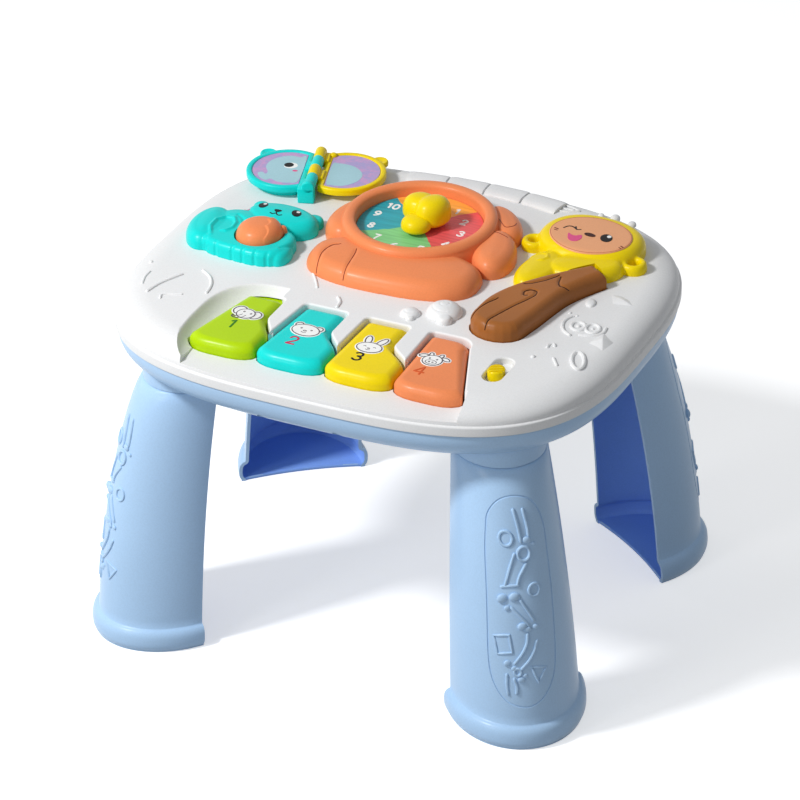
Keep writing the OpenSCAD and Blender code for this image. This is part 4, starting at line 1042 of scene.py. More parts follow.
def number(value, size, x, y, r):
    """A plain number in rounded strokes, its middle at x, y."""
    text = str(value)
    k, parts = size / 10, []
    for i, sign in enumerate(text):
        shift = (i - (len(text) - 1) / 2) * DIGIT_PITCH
        parts += [stroke([(x + k * (px + shift), y + k * py) for px, py in line], r, 0.25)
                  for line in DIGITS[sign]]
    return join(*parts)


# ---------- keys ----------


def key_skin(i):
    """A hollow key with its arm, its hub on the rod, the lip that stops it and its plunger."""
    x0, b0, b1 = KEY_LEFT + i * KEY_PITCH, KEY_BACK_LEFT[i] + 2, KEY_BACK_RIGHT[i] - 2
    levels = [(7, KEY_TOP - 2), (4, KEY_TOP - 2.8), (2.6, KEY_TOP - 5), (2, KEY_TOP - 8), (2, KEY_LOW),
              (0.35, KEY_LOW), (0, KEY_LOW + 0.4)]
    levels += [(KEY_ROUND * (1 - math.cos(f)), KEY_TOP - KEY_ROUND * (1 - math.sin(f))) for f in angles(14)]
    body = level_loft(lambda d: key_outline(i, d), levels)
    arm = block((b0, KEY_BACK - 3, KEY_LOW + 1), (b1, ROD_Y - 1, KEY_LOW + 8), 0.8)
    hub = prism([polar((ROD_Y, ROD_Z), 4, f) for f in turns(40)],
                [(b0, -0.4), (b0 + 0.4, 0), (b1 - 0.4, 0), (b1, -0.4)])
    for v in hub.verts:
        v.co = (v.co.z, v.co.x, v.co.y)
    bmesh.ops.recalc_face_normals(hub, faces=hub.faces)
    hub = cut(hub, rod((b0 - 2, ROD_Y, ROD_Z), (b1 + 2, ROD_Y, ROD_Z), ROD_HOLE))
    lip = block((x0 + 12, KEY_FRONT - 2.4, KEY_LOW), (x0 + 35.6, KEY_FRONT + 2.5, KEY_LOW + 2.8), 0.5)
    return join(body, arm, hub, lip, upright((x0 + KEY_W / 2, -96), KEY_LOW - 5, KEY_TOP - 2, 3, 32, 0.5))


def loop(x, y, a, b, turn=0):
    """Points once along an oval, the last on the first."""
    round_once = np.radians(np.linspace(0, 360, 24))
    return spread_out([(a * math.cos(f), b * math.sin(f)) for f in round_once], (x, y), turn)


# Each sticker: its place, turn and size, the ovals of the ears and of the face, and the lines on the face
STICKERS = (
    ((-70, -86), -12, 0.92, [(-6.6, 2, 4.8, 5.4, 10), (6.8, 1.8, 4.6, 5.2, -10)], (0, 0, 6.8, 6.4),
     [[(-1.4, -1.6), (-2.6, -4.6), (-5, -6.4), (-7.4, -5.6)],
      [(1.6, -1.8), (0.8, -5.4), (-2.6, -8), (-6.4, -8), (-7.4, -5.6)],
      loop(-2.6, 1.8, 0.5, 0.7), loop(3.4, 1.8, 0.5, 0.7)]),
    ((-24.5, -89.5), -5, 0.9, [(-8.2, 5.4, 2.9, 2.9, 0), (8.2, 5.4, 2.9, 2.9, 0)], (0, 0, 10.6, 7.6),
     [loop(-4.2, 1.4, 0.5, 0.6), loop(4.2, 1.4, 0.5, 0.6), loop(0, -1, 1.2, 0.7),
      [(-2, -3), (0, -3.8), (2, -3)]]),
    ((23, -91), 0, 0.95, [(-4.8, 7.4, 2.3, 5.4, 14), (5.2, 7.6, 2.3, 5.6, -20)], (0, -2, 9, 6.4),
     [[(-4.6, -1.4), (-3.6, -0.8), (-2.6, -1.4)], [(2.6, -1.4), (3.6, -0.8), (4.6, -1.4)],
      loop(0, -3.2, 0.8, 0.5), [(-1.6, -4.8), (0, -5.4), (1.6, -4.8)]]),
    ((67, -91), 0, 0.86,
     [(-9, 4.4, 3.6, 2, 20), (9, 4.4, 3.6, 2, -20), (-4, 7.6, 1.6, 2.6, 14), (4, 7.6, 1.6, 2.6, -14)],
     (0, -0.4, 7.6, 7.2),
     [loop(-3, 1.8, 0.5, 0.7), loop(3, 1.8, 0.5, 0.7), loop(0, -3, 4.4, 2.8), loop(-1.4, -3, 0.5, 0.6),
      loop(1.4, -3, 0.5, 0.6)]))
# Each key: its finish, its slot and the ink of its number
KEY_LOOKS = ((green_plastic, "green_plastic", ink("green_ink", rgb(60, 128, 30))),
             (cyan_plastic, "cyan_plastic", ink("red_ink", rgb(196, 56, 92))),
             (yellow_plastic, "yellow_plastic", black_ink),
             (orange_plastic, "orange_plastic", ink("orange_ink", rgb(214, 92, 42))))


def sticker(spot, turn, size, ears, head, lines):
    """A paper label and the line drawing on it."""
    def at(points):
        return spread_out(points, spot, turn, size)

    def border(x, y, a, b, turn=0):
        return at(loop(x, y, a + 1.4, b + 1.4, turn))

    paper = [patch(border(*ear), 0.1 + 0.01 * k) for k, ear in enumerate(ears)]
    paper += [patch(border(*head), 0.16), patch(at(loop(*head)), 0.3)]
    drawing = [stroke(at(loop(*ear)), 0.55, 0.26, 1, True) for ear in ears]
    drawing += [stroke(at(loop(*head)), 0.55, 0.4, 1, True)]
    drawing += [stroke(at(line), 0.5, 0.4, 3) for line in lines]
    return join(*paper), join(*drawing)


for i, (label, (finish, key_slot, digit_ink)) in enumerate(zip(STICKERS, KEY_LOOKS)):
    body, (x, y) = f"key_{i + 1}", label[0]
    level_shading(add_piece(f"{body}_cap", key_skin(i), finish, body, [body], key_slot))
    paper, drawing = sticker(*label)
    digit = number(i + 1, 9.5, x - 2, y - 14.6, 0.85)
    for what, shape, look in (("sticker", paper, white_ink), ("drawing", drawing, grey_ink),
                              ("number", digit, digit_ink)):
        add_piece(f"{body}_{what}", raised(shape, KEY_TOP), look, body, slot="face_plastic")

# ---------- fox with the dial ----------

RING_PROFILE = [(DIAL_R, 0), (RING_R + 3, 0), (RING_R + 1.7, RING_H * 0.35), (RING_R + 0.4, RING_H - 6)] \
    + [polar((RING_R - 5, RING_H - 5), 5, f) for f in angles(10)] \
    + [(DIAL_R + 2.6, RING_H - 0.15), (DIAL_R + 1.1, RING_H - 0.8), (DIAL_R + 0.3, RING_H - 1.8),
       (DIAL_R, RING_H - 3.2)]
# Each digit on the dial: its distance from the middle and its angle
DIGITS_AT = ((10, 33.5, 148), (9, 34, 173), (8, 32.8, 202), (7, 32.5, 232), (6, 32.5, 262), (5, 32, 295),
             (4, 31.5, 328), (3, 30, 1), (2, 30, 32), (1, 32, 62), (12, 32, 90), (11, 32, 118))


def fox_skin():
    """The fox curled round the dial's ring, and dark lines along the seams on it that paint the shade in their
    grooves.
    """
    def off_dial(part):
        return cut(part, upright(DIAL, PLATE_Z - 5, PLATE_Z + 40, RING_R - 3, 96))

    ring = spun([(r, z + PLATE_Z) for r, z in RING_PROFILE], 160, (*DIAL, 0), False)
    tail = cushion((-4, 1), 61, 29, 13, 11.5, 2, 2.6, n=120, steps=12, crown=1.0)
    shoulder = cushion((-52, 50), 20, 30, 14.5, 10, -12, n=96)
    back = cushion((39.5, 81), 23, 12.5, 13, 8, -52)
    front = cushion((50, 43), 26, 15, 14, 9, -74)
    mass = melt(0.9, 3, off_dial(tail), off_dial(shoulder))
    lobes = [melt(0.8, 3, off_dial(part)) for part in (back, front)]
    seams = [[(-44.3, 3.7), (-48.6, 1.8), (-50.8, -3), (-51.6, -10), (-50.6, -18), (-49, -29)],
             [(-31.6, 1), (-30.2, -4), (-29.2, -12), (-28.5, -20), (-27.8, -31)]]
    lobe_seams = [[(25, 90), (31, 84), (39, 76.5), (46.5, 69.5), (50.5, 73.5), (50.5, 79)],
                  [(38, 60), (45, 58.5), (54, 56)]]
    carve(mass, seams, 2.0, 0.6)
    # dark lines of painted groove shade; on the lobes they stand for grooves that are not carved
    dark = [seam(line, 0.34, mass) for line in seams] + [seam(line, 0.28, *lobes) for line in lobe_seams]
    return join(mass, ring, *lobes), join(*dark)


def dial_material():
    """Four painted sectors with brushed streaks."""
    m, tree, shader = new_material("dial_print")
    apart = lay_over(tree, add_node(tree, "SeparateXYZ"))

    def maths(kind, *values):
        node = tree.nodes.new("ShaderNodeMath")
        node.operation = kind
        for value, into in zip(values, node.inputs):
            if isinstance(value, (int, float)):
                into.default_value = value
            else:
                tree.links.new(value, into)
        return node.outputs[0]

    x = maths("SUBTRACT", apart.outputs["X"], DIAL[0] * MM)
    y = maths("SUBTRACT", apart.outputs["Y"], DIAL[1] * MM)
    wave = maths("MULTIPLY", maths("SUBTRACT", object_noise(tree, 60, 2).outputs["Fac"], 0.5), 0.12)
    turn = maths("ADD", maths("DIVIDE", maths("ARCTAN2", y, x), TAU), 0.5)
    turn = maths("ADD", turn, maths("MULTIPLY", wave, 0.5))
    teal, green, red, gold = rgb(30, 160, 176), rgb(126, 202, 130), rgb(226, 88, 92), rgb(250, 172, 70)
    stops = ((0, teal), (0.097, green), (0.367, red), (0.639, gold), (0.875, teal))
    sectors = tones(tree, turn.node, 0, stops, "CONSTANT")
    mapping = lay_over(tree, add_node(tree, "Mapping", Rotation=(0, 0, math.radians(35)), Scale=(40, 420, 1)))
    streaks = add_node(tree, "TexNoise", Scale=1, Detail=4)
    link(tree, mapping, "Vector", streaks, "Vector")
    wash = tones(tree, streaks, "Fac", [(0.35, (0.86, 0.88, 0.86)), (0.62, (1.12, 1.1, 1.1))])
    multiply(tree, sectors, wash, 1, shader)
    set_inputs(shader, Roughness=0.42)
    grain_bump(tree, shader, object_noise(tree, 1600, 2), object_noise(tree, 90, 2), coarse_depth=0.0001)
    return m


def knob_skin():
    """The turning knob: two lobes and a ball on a shaft."""
    x, y = DIAL
    low = FACE_TOP + 0.3
    left = dome_cap((x - 3, y + 8), 12.5, 11, 12.5, 10, low + 6, 0.7, below=5)
    right = dome_cap((x + 8, y + 4), 11, 13.5, KNOB_TOP - low - 6.5, -20, low + 6.5, 0.7, below=5.5)
    ball = dome_cap((x + 1.5, y - 9), 10.4, 10.4, 7.5, 0, low + 4.5, below=4)
    shaft = upright(DIAL, UNDER_Z - 6, low + 8, 4, 40, 0.4)
    return join(melt(0.5, 6, left, right), melt(0.5, 3, ball), shaft)


fox, fox_groove_shade = fox_skin()
add_piece("fox_figure", fox, orange_plastic, stands_for=["fox_surround"], slot="orange_plastic", smooth=65)
# the dark seam lines paint the shade in the fox's grooves
add_piece("fox_groove_shade", fox_groove_shade, ink("orange_groove_painted_shade", rgb(150, 66, 44)), slot="orange_plastic")
disc = spun([(4.7, FACE_TOP - 2), (DIAL_R - 0.5, FACE_TOP - 2), (DIAL_R - 0.3, FACE_TOP - 1.7),
             (DIAL_R - 0.3, FACE_TOP - 0.3), (DIAL_R - 0.6, FACE_TOP), (5.0, FACE_TOP),
             (4.7, FACE_TOP - 0.3)], 128, (*DIAL, 0), False)
add_piece("dial_disc", disc, dial_material(), stands_for=["dial_face"], slot="dial_print")
numbers = [number(n, 6.4, *polar(DIAL, r, math.radians(f)), 0.78) for n, r, f in DIGITS_AT]
add_piece("dial_numbers", raised(join(*numbers), FACE_TOP), white_ink, slot="dial_print")
add_piece("knob_handle", knob_skin(), yellow_plastic, "knob", ["dial_knob"], "yellow_plastic", smooth=60)

# ---------- squirrel and acorn ----------

BELLY_TURN = -12


def squirrel_skin():
    head = cushion((-101, 28), 27, 17, 13, 8, -4, n=96, crown=1.0)
    tail = cushion((-142, 1), 15, 24, 12.4, 8, 8, n=96, crown=1.0)
    belly = cushion((-109, -6), 32, 21, 11, 4.5, -4, 3.2, n=120, crown=0.3)
    arm = cushion((-83, -10), 8, 13, 10, 5, 12, crown=0.8)
    ears = [cushion((-82, 38), 7, 7, 8, 4), cushion((-122, 39), 6, 6, 10, 4)]
    flank = cushion((-125, 14), 18, 14, 11.6, 7)
    skin = melt(0.7, 3, head, tail, belly, arm, flank, *ears)
    # fur grooves down the front wall
    skin.normal_update()
    for v in skin.verts:
        if v.co.y < -18 and v.normal.y < -0.3:
            near = min(abs(v.co.x - x) for x in (-133, -124, -111, -103, -94, -86))
            v.co.y += 0.7 * max(0.0, 1 - (near / 1.5) ** 2)
    carve(skin, [[(-131.5, -17.5), (-136.5, -8), (-137, 2), (-133.5, 9), (-127.5, 9.5), (-123.5, 4),
                  (-122.5, -3), (-125, -8.5), (-129, -9.5)]], 1.9, -1.3)
    carve(skin, [[(-128, 15), (-121.5, 11), (-118, 5)], [(-75.6, -1.5), (-78, -8), (-81.5, -15)]], 1.6, 0.8)
    return cut(skin, prism(blob(ACORN, 16.6, 17.6, BELLY_TURN, 2, 96),
                           [(PLATE_Z - 3, 0), (PLATE_Z + 10, 0), (PLATE_Z + 11.6, 0.5), (PLATE_Z + 20, 3)]))


def acorn_skin():
    """The acorn button: a nut with a scalloped cap, a point and a stem below."""
    x, y = ACORN
    skin = melt(0.6, 4, dome_cap(ACORN, 16, 16.8, 16.7, BELLY_TURN, PLATE_Z + 3.3, 0.62, 96, 24))
    skin.normal_update()
    along = Vector((math.cos(math.radians(18)), math.sin(math.radians(18)), 0))
    for v in skin.verts:
        p = v.co - Vector((x, y, v.co.z))
        across = p.x * -along.y + p.y * along.x
        border = 4.6 + 2.4 * abs(math.cos(across * math.pi / 9.5))
        rise = min(1.0, max(0.0, (p.dot(along) - border) / 0.9))
        if v.normal.z > 0.05 and v.co.z > PLATE_Z + 9:
            v.co.z += rise * 0.9
    point = dome_cap((x + 13.2, y + 8.6), 3.2, 2.8, 8.5, 30, PLATE_Z + 7, 0.7, 32, 10)
    return join(skin, point, upright(ACORN, UNDER_Z - 8, PLATE_Z + 12, 3.2, 32, 0.4))


squirrel = squirrel_skin()
EYES = ((-117, 32.2, 18), (-90.5, 29.6, 30))
SNOUT = ((-106.2, 28.4), (-103.6, 29.1), (-101, 28.6), (-101.6, 26.8), (-103.6, 25.6), (-105.6, 26.6))
black = drape(squirrel, *[oval((x, y), 3.3, 4.9, turn, 0.25) for x, y, turn in EYES],
              patch(soft_outline(SNOUT), 0.25),
              stroke([(-103.6, 27), (-103.3, 24.6), (-101, 22.6), (-98.6, 23.6)], 0.5),
              stroke([(-103.3, 24.6), (-105.4, 23), (-107.6, 23.8)], 0.5))
glints = drape(squirrel, *[oval((x + 0.6, y + 1.8), 1.3, 1.6, 26, 0.36, 16) for x, y, _ in EYES])
cheek = drape(squirrel, oval((-126, 25.4), 2.2, 1.1, 30, 0.22, 20))
add_piece("squirrel_figure", squirrel, cyan_plastic, stands_for=["squirrel_body"], slot="cyan_plastic",
          smooth=60)
add_piece("squirrel_eyes", black, black_ink, slot="face_plastic")
add_piece("squirrel_glints", glints, white_ink, slot="face_plastic")
add_piece("squirrel_cheek", cheek, pink_ink, slot="face_plastic")
add_piece("acorn_cap", acorn_skin(), orange_plastic, "acorn", ["acorn_button"], "orange_plastic", smooth=60)

# ---------- monkey ----------

FACE_AT = (103.5, 81.5)
LIPS = ((89, 77.2), (91.8, 75.6), (95, 75.4), (98.2, 77.6), (100, 74), (98.9, 69.6), (95.2, 67.8),
        (91.4, 70.4))


def monkey_skin():
    mx, my = MONKEY
    parts = [cushion((mx, my - 1.5), 37, 30, 13, 8, -6, 2.2, n=128, crown=0.4),
             cushion((85, 40), 14, 26, 9, 7, -8, n=96, crown=0.8),
             cushion((112, 52), 26, 16, 10, 7, 25, n=96)]
    for ex, ey in ((-36.4, -13.6), (36.5, -16.5)):
        spot = (mx + ex, my + ey, PLATE_Z)
        parts.append(spun([(4, -0.5), (9, -0.5), (9, 3.6), (8.5, 5.6), (7.4, 6.8), (6.4, 7), (5.2, 6.7),
                           (4.3, 5.8), (4, 4.6)], 48, spot, False))
        parts.append(set_down(block((6, -4, -0.5), (20, 4, 6), 1.2, 3), spot, math.atan2(-ey, -ex)))
    skin = melt(0.75, 4, *parts)
    carve(skin, [[(74.5, 45.5), (75.5, 50.5), (79.5, 53.6), (84.5, 52.5), (86.6, 48), (84.6, 43.6),
                  (80.8, 43)]], 1.5, -0.9)
    carve(skin, [[(71, 58.5), (78, 61.5), (88, 60.5)]], 1.6, 0.7)
    return cut(skin, prism(log_outline(-1.2), [(PLATE_Z - 4, 0), (PLATE_Z + 30, 0)]))


monkey = monkey_skin()
face = drape(monkey, patch(blob(FACE_AT, 29, 23.5, -6, 2, 128), 0.7, 24))
features = {
    "face_edge": (ink("peach_line_ink", rgb(200, 120, 84)),
                  stroke(blob(FACE_AT, 28.3, 22.8, -6, 2, 64), 0.26, 0.12, 2, True)),
    "eyes": (black_ink, oval((115.2, 80.2), 4.1, 5.2, 24, 0.25, 40),
             stroke([(83.2, 82.6), (85.2, 85.8), (88.4, 86.3), (92.4, 83.6)], 0.6),
             stroke([(90.2, 87.2), (92.4, 83.6), (95, 84.6)], 0.5)),
    "nose": (ink("dark_brown_ink", rgb(62, 26, 18)), oval((103.4, 80), 4.2, 2.1, -8, 0.3)),
    "glint": (white_ink, oval((116.4, 82.4), 1.5, 1.7, 24, 0.36, 16)),
    "mouth": (pink_ink, patch(soft_outline(LIPS), 0.22)),
    "cheeks": (brown_ink,
               stroke([(77.6, 80.6), (80.6, 79.6)], 0.55), stroke([(78.2, 78.4), (80.6, 77.8)], 0.45),
               stroke([(128, 74.6), (131.6, 72.6)], 0.55), stroke([(127.6, 72.4), (130.6, 70.6)], 0.45))}
features = {name: (drape(face, *parts), finish) for name, (finish, *parts) in features.items()}
add_piece("monkey_figure", monkey, yellow_plastic, stands_for=["monkey_body"], slot="yellow_plastic",
          smooth=60)
add_piece("monkey_face_plate", face, face_plastic, stands_for=["monkey_face"], slot="face_plastic", smooth=60)
for name, look in features.items():
    add_piece(f"monkey_{name}", *look, slot="face_plastic")

# ---------- log button ----------

# Bark grooves: each is carved and lined with a dark line of painted shade
BARK_LINES = (
    ((73.2, -45), (74, -40), (74.8, -34.5), (77.2, -27), (81, -19.5)),
    ((86.8, -53.4), (87.2, -46), (90.1, -36.8), (94.5, -24), (98.6, -14.5), (101.4, -6.5), (100.5, -1.5),
     (96, -0.6), (93, -4.2), (94.4, -8.8), (97.4, -8.4)),
    ((88.4, 4.6), (93.4, 8), (99.8, 15.2), (105.5, 24.6)),
    ((107.2, 22.4), (108.6, 15.8), (111.4, 11.4), (117.6, 12)))


def log_skin():
    """The log button with its two stems, and dark lines in the bark grooves that paint their shade."""
    low, top = UNDER_Z - 2, PLATE_Z + LOG_H
    levels = [(7.4, top - 4.4), (6.6, top - 5), (6.4, top - 6), (6.4, low), (0.3, low), (0, low + 0.3)]
    levels += [(6 * (1 - math.cos(f)), top - 7 * (1 - math.sin(f))) for f in angles(12)]
    skin = melt(0.65, 3, level_loft(log_outline, levels))
    dark = []
    for line in BARK_LINES:
        carve(skin, [line], 1.7, 0.8)
        # a dark line in the groove paints its shade
        dark.append(seam(line, 0.42, skin))
    return join(skin, *[upright(at, 224.5, top - 3, 3, 32, 0.4) for at in LOG_STEMS]), join(*dark)


log, log_groove_shade = log_skin()
add_piece("log_cap", log, brown_plastic, "log", ["log_button"], "brown_plastic", smooth=60)
# dark lines that paint the shade in the bark grooves
add_piece("log_groove_shade", log_groove_shade, ink("bark_groove_painted_shade", rgb(70, 38, 20)), "log", slot="brown_plastic")

# ---------- flip book, built about its hinge ----------

PAGE_R, PAGE_LOW, PAGE_TOP, BOOK_FOOT = 28.5, -7, -2, -12
PAGE_MID, PAGE_EDGE = (20.3, 28.5), 4.6
PRINT_Z = PAGE_TOP - 0.6
PRINT_LEVELS = ((4.3, PAGE_TOP - 1.2), (4.3, PRINT_Z - 0.1), (4.4, PRINT_Z))
HEAD = ((-9.6, 46), (-9.6, 12), (-16, 7.6), (-24, 8.5), (-29, 12), (-32.5, 10), (-37, 13.5), (-39.6, 19.5),
        (-37, 21.5), (-34, 19), (-33, 22), (-35.5, 30), (-34, 38), (-28.5, 44.5), (-21, 47.5), (-14, 46))
CLOUD = ((9.8, 10.5), (9.8, 38), (14, 40), (20, 39), (26, 36), (31, 30), (33, 23), (31, 15.5), (26, 9.8),
         (20, 7), (14, 7.6))


def page_loft(side, levels):
    """A page through (drawn in, height) levels: a circle that stops at a straight edge by the hinge."""
    def outline(d):
        reach = math.acos((PAGE_EDGE + d - PAGE_MID[0]) / (PAGE_R - d))
        pts = [polar(PAGE_MID, PAGE_R - d, f) for f in np.linspace(-reach, reach, 56)]
        return [(side * x, y) for x, y in pts][::side]

    return level_loft(outline, levels)


def page_skin(side):
    """A page with a framed edge and a round ear."""
    body = page_loft(side, [(0.8, PAGE_LOW), (0.2, PAGE_LOW + 0.3), (0, PAGE_LOW + 1), (0, PAGE_TOP - 1),
                            (0.3, PAGE_TOP - 0.4), (0.9, PAGE_TOP), (3, PAGE_TOP), (3.7, PAGE_TOP - 0.3),
                            (4, PAGE_TOP - 0.8), (4, PAGE_TOP - 1.2)])
    x, y = polar(PAGE_MID, PAGE_R, math.radians(42 if side > 0 else 53))
    ear = spun([(0, PAGE_LOW + 0.4), (5.4, PAGE_LOW + 0.4), (6, PAGE_LOW + 1.2), (6, PAGE_TOP - 1.4),
                (5.4, PAGE_TOP - 0.5), (4.4, PAGE_TOP - 0.4), (3.4, PAGE_TOP - 0.9), (0, PAGE_TOP - 1)],
               40, (side * x, y, 0))
    return [body, cut(ear, page_loft(side, [(2, PAGE_LOW - 2), (2, PAGE_TOP + 2)]))]


def knuckles(first, low, high):
    """Every other knuckle of the hinge, each with the web between (x, z) corners that carries it."""
    parts = []
    for k in (first, first + 2):
        start, end = KNUCKLE_L * k + KNUCKLE_GAP, KNUCKLE_L * (k + 1) - KNUCKLE_GAP
        parts.append(rod((0, start, 0), (0, end, 0), KNUCKLE_R, 40, 0.5))
        parts.append(block((low[0], start, low[1]), (high[0], end, high[1]), 0.6))
    return parts


def at_hinge(*parts):
    return set_down(join(*parts), HINGE, HINGE_TURN)


def print_material():
    """Lilac print with pink mottling and a paper grain."""
    m, tree, shader = new_material("lilac_print")
    blush = tones(tree, object_noise(tree, 150, 4, 0.7), "Fac",
                  [(0.42, rgb(170, 158, 208)), (0.62, rgb(204, 156, 204))])
    grain = tones(tree, object_noise(tree, 2200, 2), "Fac", [(0.3, (0.9, 0.9, 0.9)), (0.7, (1, 1, 1))])
    multiply(tree, blush, grain, 1, shader)
    set_inputs(shader, Roughness=0.38)
    grain_bump(tree, shader, object_noise(tree, 1500, 2))
    return m


def picture(outline):
    return raised(prism(soft_outline(outline, 5), [(-0.2, 0), (0.1, 0)]), PRINT_Z)


base = page_skin(-1) + [page_loft(-1, [(6, BOOK_FOOT), (6, PAGE_LOW + 1)])]
base += knuckles(0, (-8, BOOK_FOOT), (-0.5, -1))
base += [block((-8, -4, BOOK_FOOT), (3.4, 4, -0.6), 0.9, 3), rod((-0.6, -4, 0), (-0.6, 1, 0), 4.4, 40, 0.9)]
turned = page_skin(1) + knuckles(1, (0.5, PAGE_LOW + 1), (7, -0.5))
turned += [upright((PAGE_MID[0] + 14.5, PAGE_MID[1] + y), -11.7, PAGE_LOW + 1, 2.5, 24, 0.4)
           for y in (-16, 16)]
turned.append(spun([(0, PAGE_TOP - 0.5), (2.6, PAGE_TOP - 0.5), (2.5, PAGE_TOP + 0.8), (1.8, PAGE_TOP + 1.5),
                    (0, PAGE_TOP + 1.7)], 24, (8.6, 50.5, 0)))
lilac_print = print_material()
pale_ink = ink("pale_blue_ink", rgb(168, 206, 216))
for name, parts, finish, page_slot, nodes in (
        ("left_page", base, cyan_plastic, "cyan_plastic", ["book_base_page"]),
        ("left_print", [page_loft(-1, PRINT_LEVELS)], lilac_print, "page_print", ["book_base_print"]),
        ("left_picture", [picture(HEAD)], pale_ink, "page_print", ()),
        ("left_eye_white", [raised(oval((-18.6, 33), 4.9, 4.2, 0, 0.16), PRINT_Z)], white_ink, "page_print", ()),
        ("left_eye", [raised(oval((-20, 33.6), 3.4, 3.2, 0, 0.24), PRINT_Z)], black_ink, "page_print", ()),
        ("left_cheek", [raised(oval((-14.4, 25.5), 1.9, 1.2, 0, 0.2, 16), PRINT_Z)], pink_ink, "page_print", ()),
        ("right_page", turned, yellow_plastic, "yellow_plastic", ["book_page"]),
        ("right_print", [page_loft(1, PRINT_LEVELS)], lilac_print, "page_print", ["book_page_print"]),
        ("right_picture", [picture(CLOUD)], pale_ink, "page_print", ())):
    body = "page" if name.startswith("right") else "table"
    add_piece(f"book_{name}", at_hinge(*parts), finish, body, nodes, page_slot, 45 if "page" in name else 40)

# ---------- switch ----------

SLIDER = (SWITCH[0], SWITCH[1] + SWITCH_AT, 0)
slider = prism(slot_outline(*SLIDER[:2], 12.5, 11, 16),
               [(PLATE_Z - 4.7, -0.2), (PLATE_Z - 4.4, 0), (PLATE_Z + 1.2, 0), (PLATE_Z + 2, -0.4),
                (PLATE_Z + 2.4, -1), (PLATE_Z + 2.5, -1.8)])
grooves = [set_down(block((-12, -0.55, PLATE_Z + 1.5), (12, 0.55, PLATE_Z + 5), 0),
                    (SLIDER[0], SLIDER[1] + k * 2.2, 0), 0.35) for k in range(-2, 3)]
stem = set_down(block((-1.8, -3.5, UNDER_Z - 18), (1.8, 3.5, PLATE_Z - 4), 0.3), SLIDER)
add_piece("switch_cap", join(cut(slider, *grooves), stem), yellow_plastic, "switch", ["switch_slider"],
          "yellow_plastic", smooth=30)

# ---------- inside parts ----------

HEAD_R, HEAD_H, CROSS_A, CROSS_B = 3, 2, 1.7, 0.35


def repaint(material, *names):
    for name in names:
        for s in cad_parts[name].material_slots:
            s.material = material


def circuit_material():
    """Green lacquer over a faint grid of copper tracks."""
    m, tree, shader = new_material("circuit_board")
    tracks = lay_over(tree, add_node(tree, "TexBrick", Scale=160, Mortar_Size=0.06,
                                     Color1=(*rgb(24, 92, 50), 1), Color2=(*rgb(28, 104, 56), 1),
                                     Mortar=(*rgb(72, 132, 60), 1)))
    link(tree, tracks, "Color", shader, "Base Color")
    set_inputs(shader, Roughness=0.35, Coat_Weight=0.4)
    grain_bump(tree, shader, object_noise(tree, 900, 3))
    return m


def case_screw(x, y):
    """A pan-head screw up into the cover, with a cross in its head."""
    z = head_z(x, y)
    cross = [block((x - a, y - b, z - 1), (x + a, y + b, z + 1), 0)
             for a, b in ((CROSS_A, CROSS_B), (CROSS_B, CROSS_A))]
    head = cut(upright((x, y), z, z + HEAD_H, HEAD_R, 32, 0.35), *cross)
    return join(head, upright((x, y), z + 1.4, PART_Z + 6, SCREW_R))


add_piece("case_screw_set", join(*[case_screw(x, y) for x, y in CASE_SPOTS]), dark_steel,
          stands_for=["case_screws"], slot="steel")
repaint(dark_steel, "door_screw")
repaint(steel, "key_pivot_rod", "knob_washer", "acorn_spring", "log_springs", "book_pin", "figure_screws",
        "battery_contacts", "slide_switch")
repaint(plastic("grey_rubber", rgb(66, 66, 70), 0.6, coat=0, spread=0.12, glow=0), "key_pads", "button_pads")
repaint(plastic("speaker_black", rgb(40, 40, 44), 0.55, coat=0, spread=0.2, glow=0), "speaker")
repaint(plastic("cell_wrap", rgb(188, 140, 74), 0.25, coat=0.5, spread=0.08, glow=0), "battery_cells")
repaint(circuit_material(), "circuit_board", "button_boards")
repaint(blue_plastic, "battery_door")

# ---------- camera, lights and floor ----------

FLOOR_GLOW = 0.5


def camera_at(azimuth, elevation, distance, roll, target, lens):
    az, el, ro = (math.radians(x) for x in (azimuth, elevation, roll))
    back = Vector((math.sin(az) * math.cos(el), -math.cos(az) * math.cos(el), math.sin(el)))
    right = Vector((math.cos(az), math.sin(az), 0))
    up = back.cross(right)
    x = right * math.cos(ro) + up * math.sin(ro)
    y = -right * math.sin(ro) + up * math.cos(ro)
    data = bpy.data.cameras.new("camera")
    data.lens, data.sensor_width = lens, 36
    data.clip_start, data.clip_end = 0.1, 20
    cam = linked("camera", data)
    turn = Matrix((x, y, back)).transposed().to_4x4()
    cam.matrix_world = Matrix.Translation((Vector(target) + back * distance) * MM) @ turn
    bpy.context.scene.camera = cam


def lamp(name, where, at, size, power):
    data = bpy.data.lights.new(name, "AREA")
    data.shape = "DISK"
    data.size = size
    data.energy = power
    obj = linked(name, data)
    obj.location = where
    obj.rotation_euler = (Vector(at) - Vector(where)).to_track_quat("-Z", "Y").to_euler()


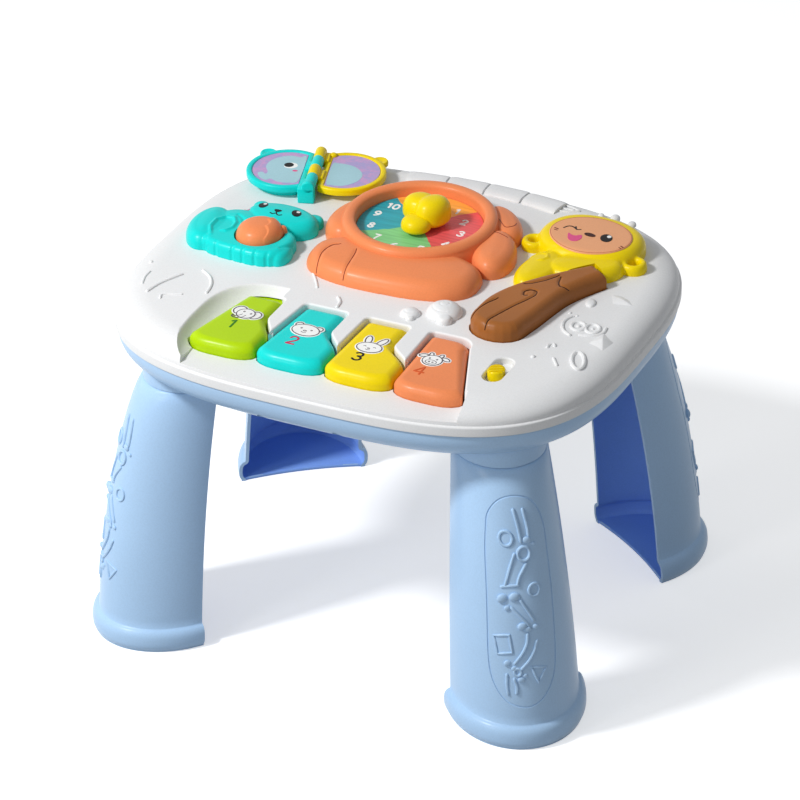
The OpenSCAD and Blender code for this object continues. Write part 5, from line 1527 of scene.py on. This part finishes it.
def shown_as(tree, direct, other, output):
    """One shader for rays from the eye and for what mirrors and clear things show, another for the rest."""
    path = tree.nodes.new("ShaderNodeLightPath")
    last = path.outputs["Is Camera Ray"]
    for kind in ("Is Glossy Ray", "Is Transmission Ray"):
        most = tree.nodes.new("ShaderNodeMath")
        most.operation = "MAXIMUM"
        tree.links.new(last, most.inputs[0])
        link(tree, path, kind, most, 1)
        last = most.outputs[0]
    mix = tree.nodes.new("ShaderNodeMixShader")
    tree.links.new(last, mix.inputs[0])
    link(tree, other, 0, mix, 1)
    link(tree, direct, 0, mix, 2)
    link(tree, mix, 0, tree.nodes[output], "Surface")


def floor_and_world():
    """A glowing white floor and a dim world that the eye sees as plain white."""
    world = bpy.data.worlds.new("studio")
    bpy.context.scene.world = world
    world.use_nodes = True
    tree = world.node_tree
    dim = set_inputs(tree.nodes["Background"], Color=(0.93, 0.96, 1.0, 1), Strength=0.35)
    shown_as(tree, add_node(tree, "Background", Strength=1.0), dim, "World Output")

    bm = bmesh.new()
    bmesh.ops.create_grid(bm, x_segments=2, y_segments=2, size=4)
    floor = linked("floor", as_mesh("floor", bm))
    m, tree, shader = new_material("floor_white")
    set_inputs(shader, Base_Color=(0.86, 0.86, 0.86, 1), Roughness=0.9, Specular_IOR_Level=0.0)
    bounce = add_node(tree, "BsdfDiffuse", Color=(0.45, 0.45, 0.45, 1))
    glow = add_node(tree, "Emission", Strength=FLOOR_GLOW)
    both = tree.nodes.new("ShaderNodeAddShader")
    link(tree, shader, 0, both, 0)
    link(tree, glow, 0, both, 1)
    shown_as(tree, both, bounce, "Material Output")
    floor.data.materials.append(m)


camera_at(25.922, 30.91, 2704.45, -1.006, (-0.821, 0, 147.159), 180)
lamp("main_softbox", (-0.85, -0.95, 1.5), (0, 0, 0.2), 0.26, 25)
lamp("front_softbox", (-0.8, -1.75, 0.9), (0, 0, 0.12), 0.6, 6)
lamp("side_fill", (-1.8, 0.3, 0.8), (0, 0, 0.15), 1.2, 2)
floor_and_world()
bpy.context.scene.view_settings.view_transform = "Standard"
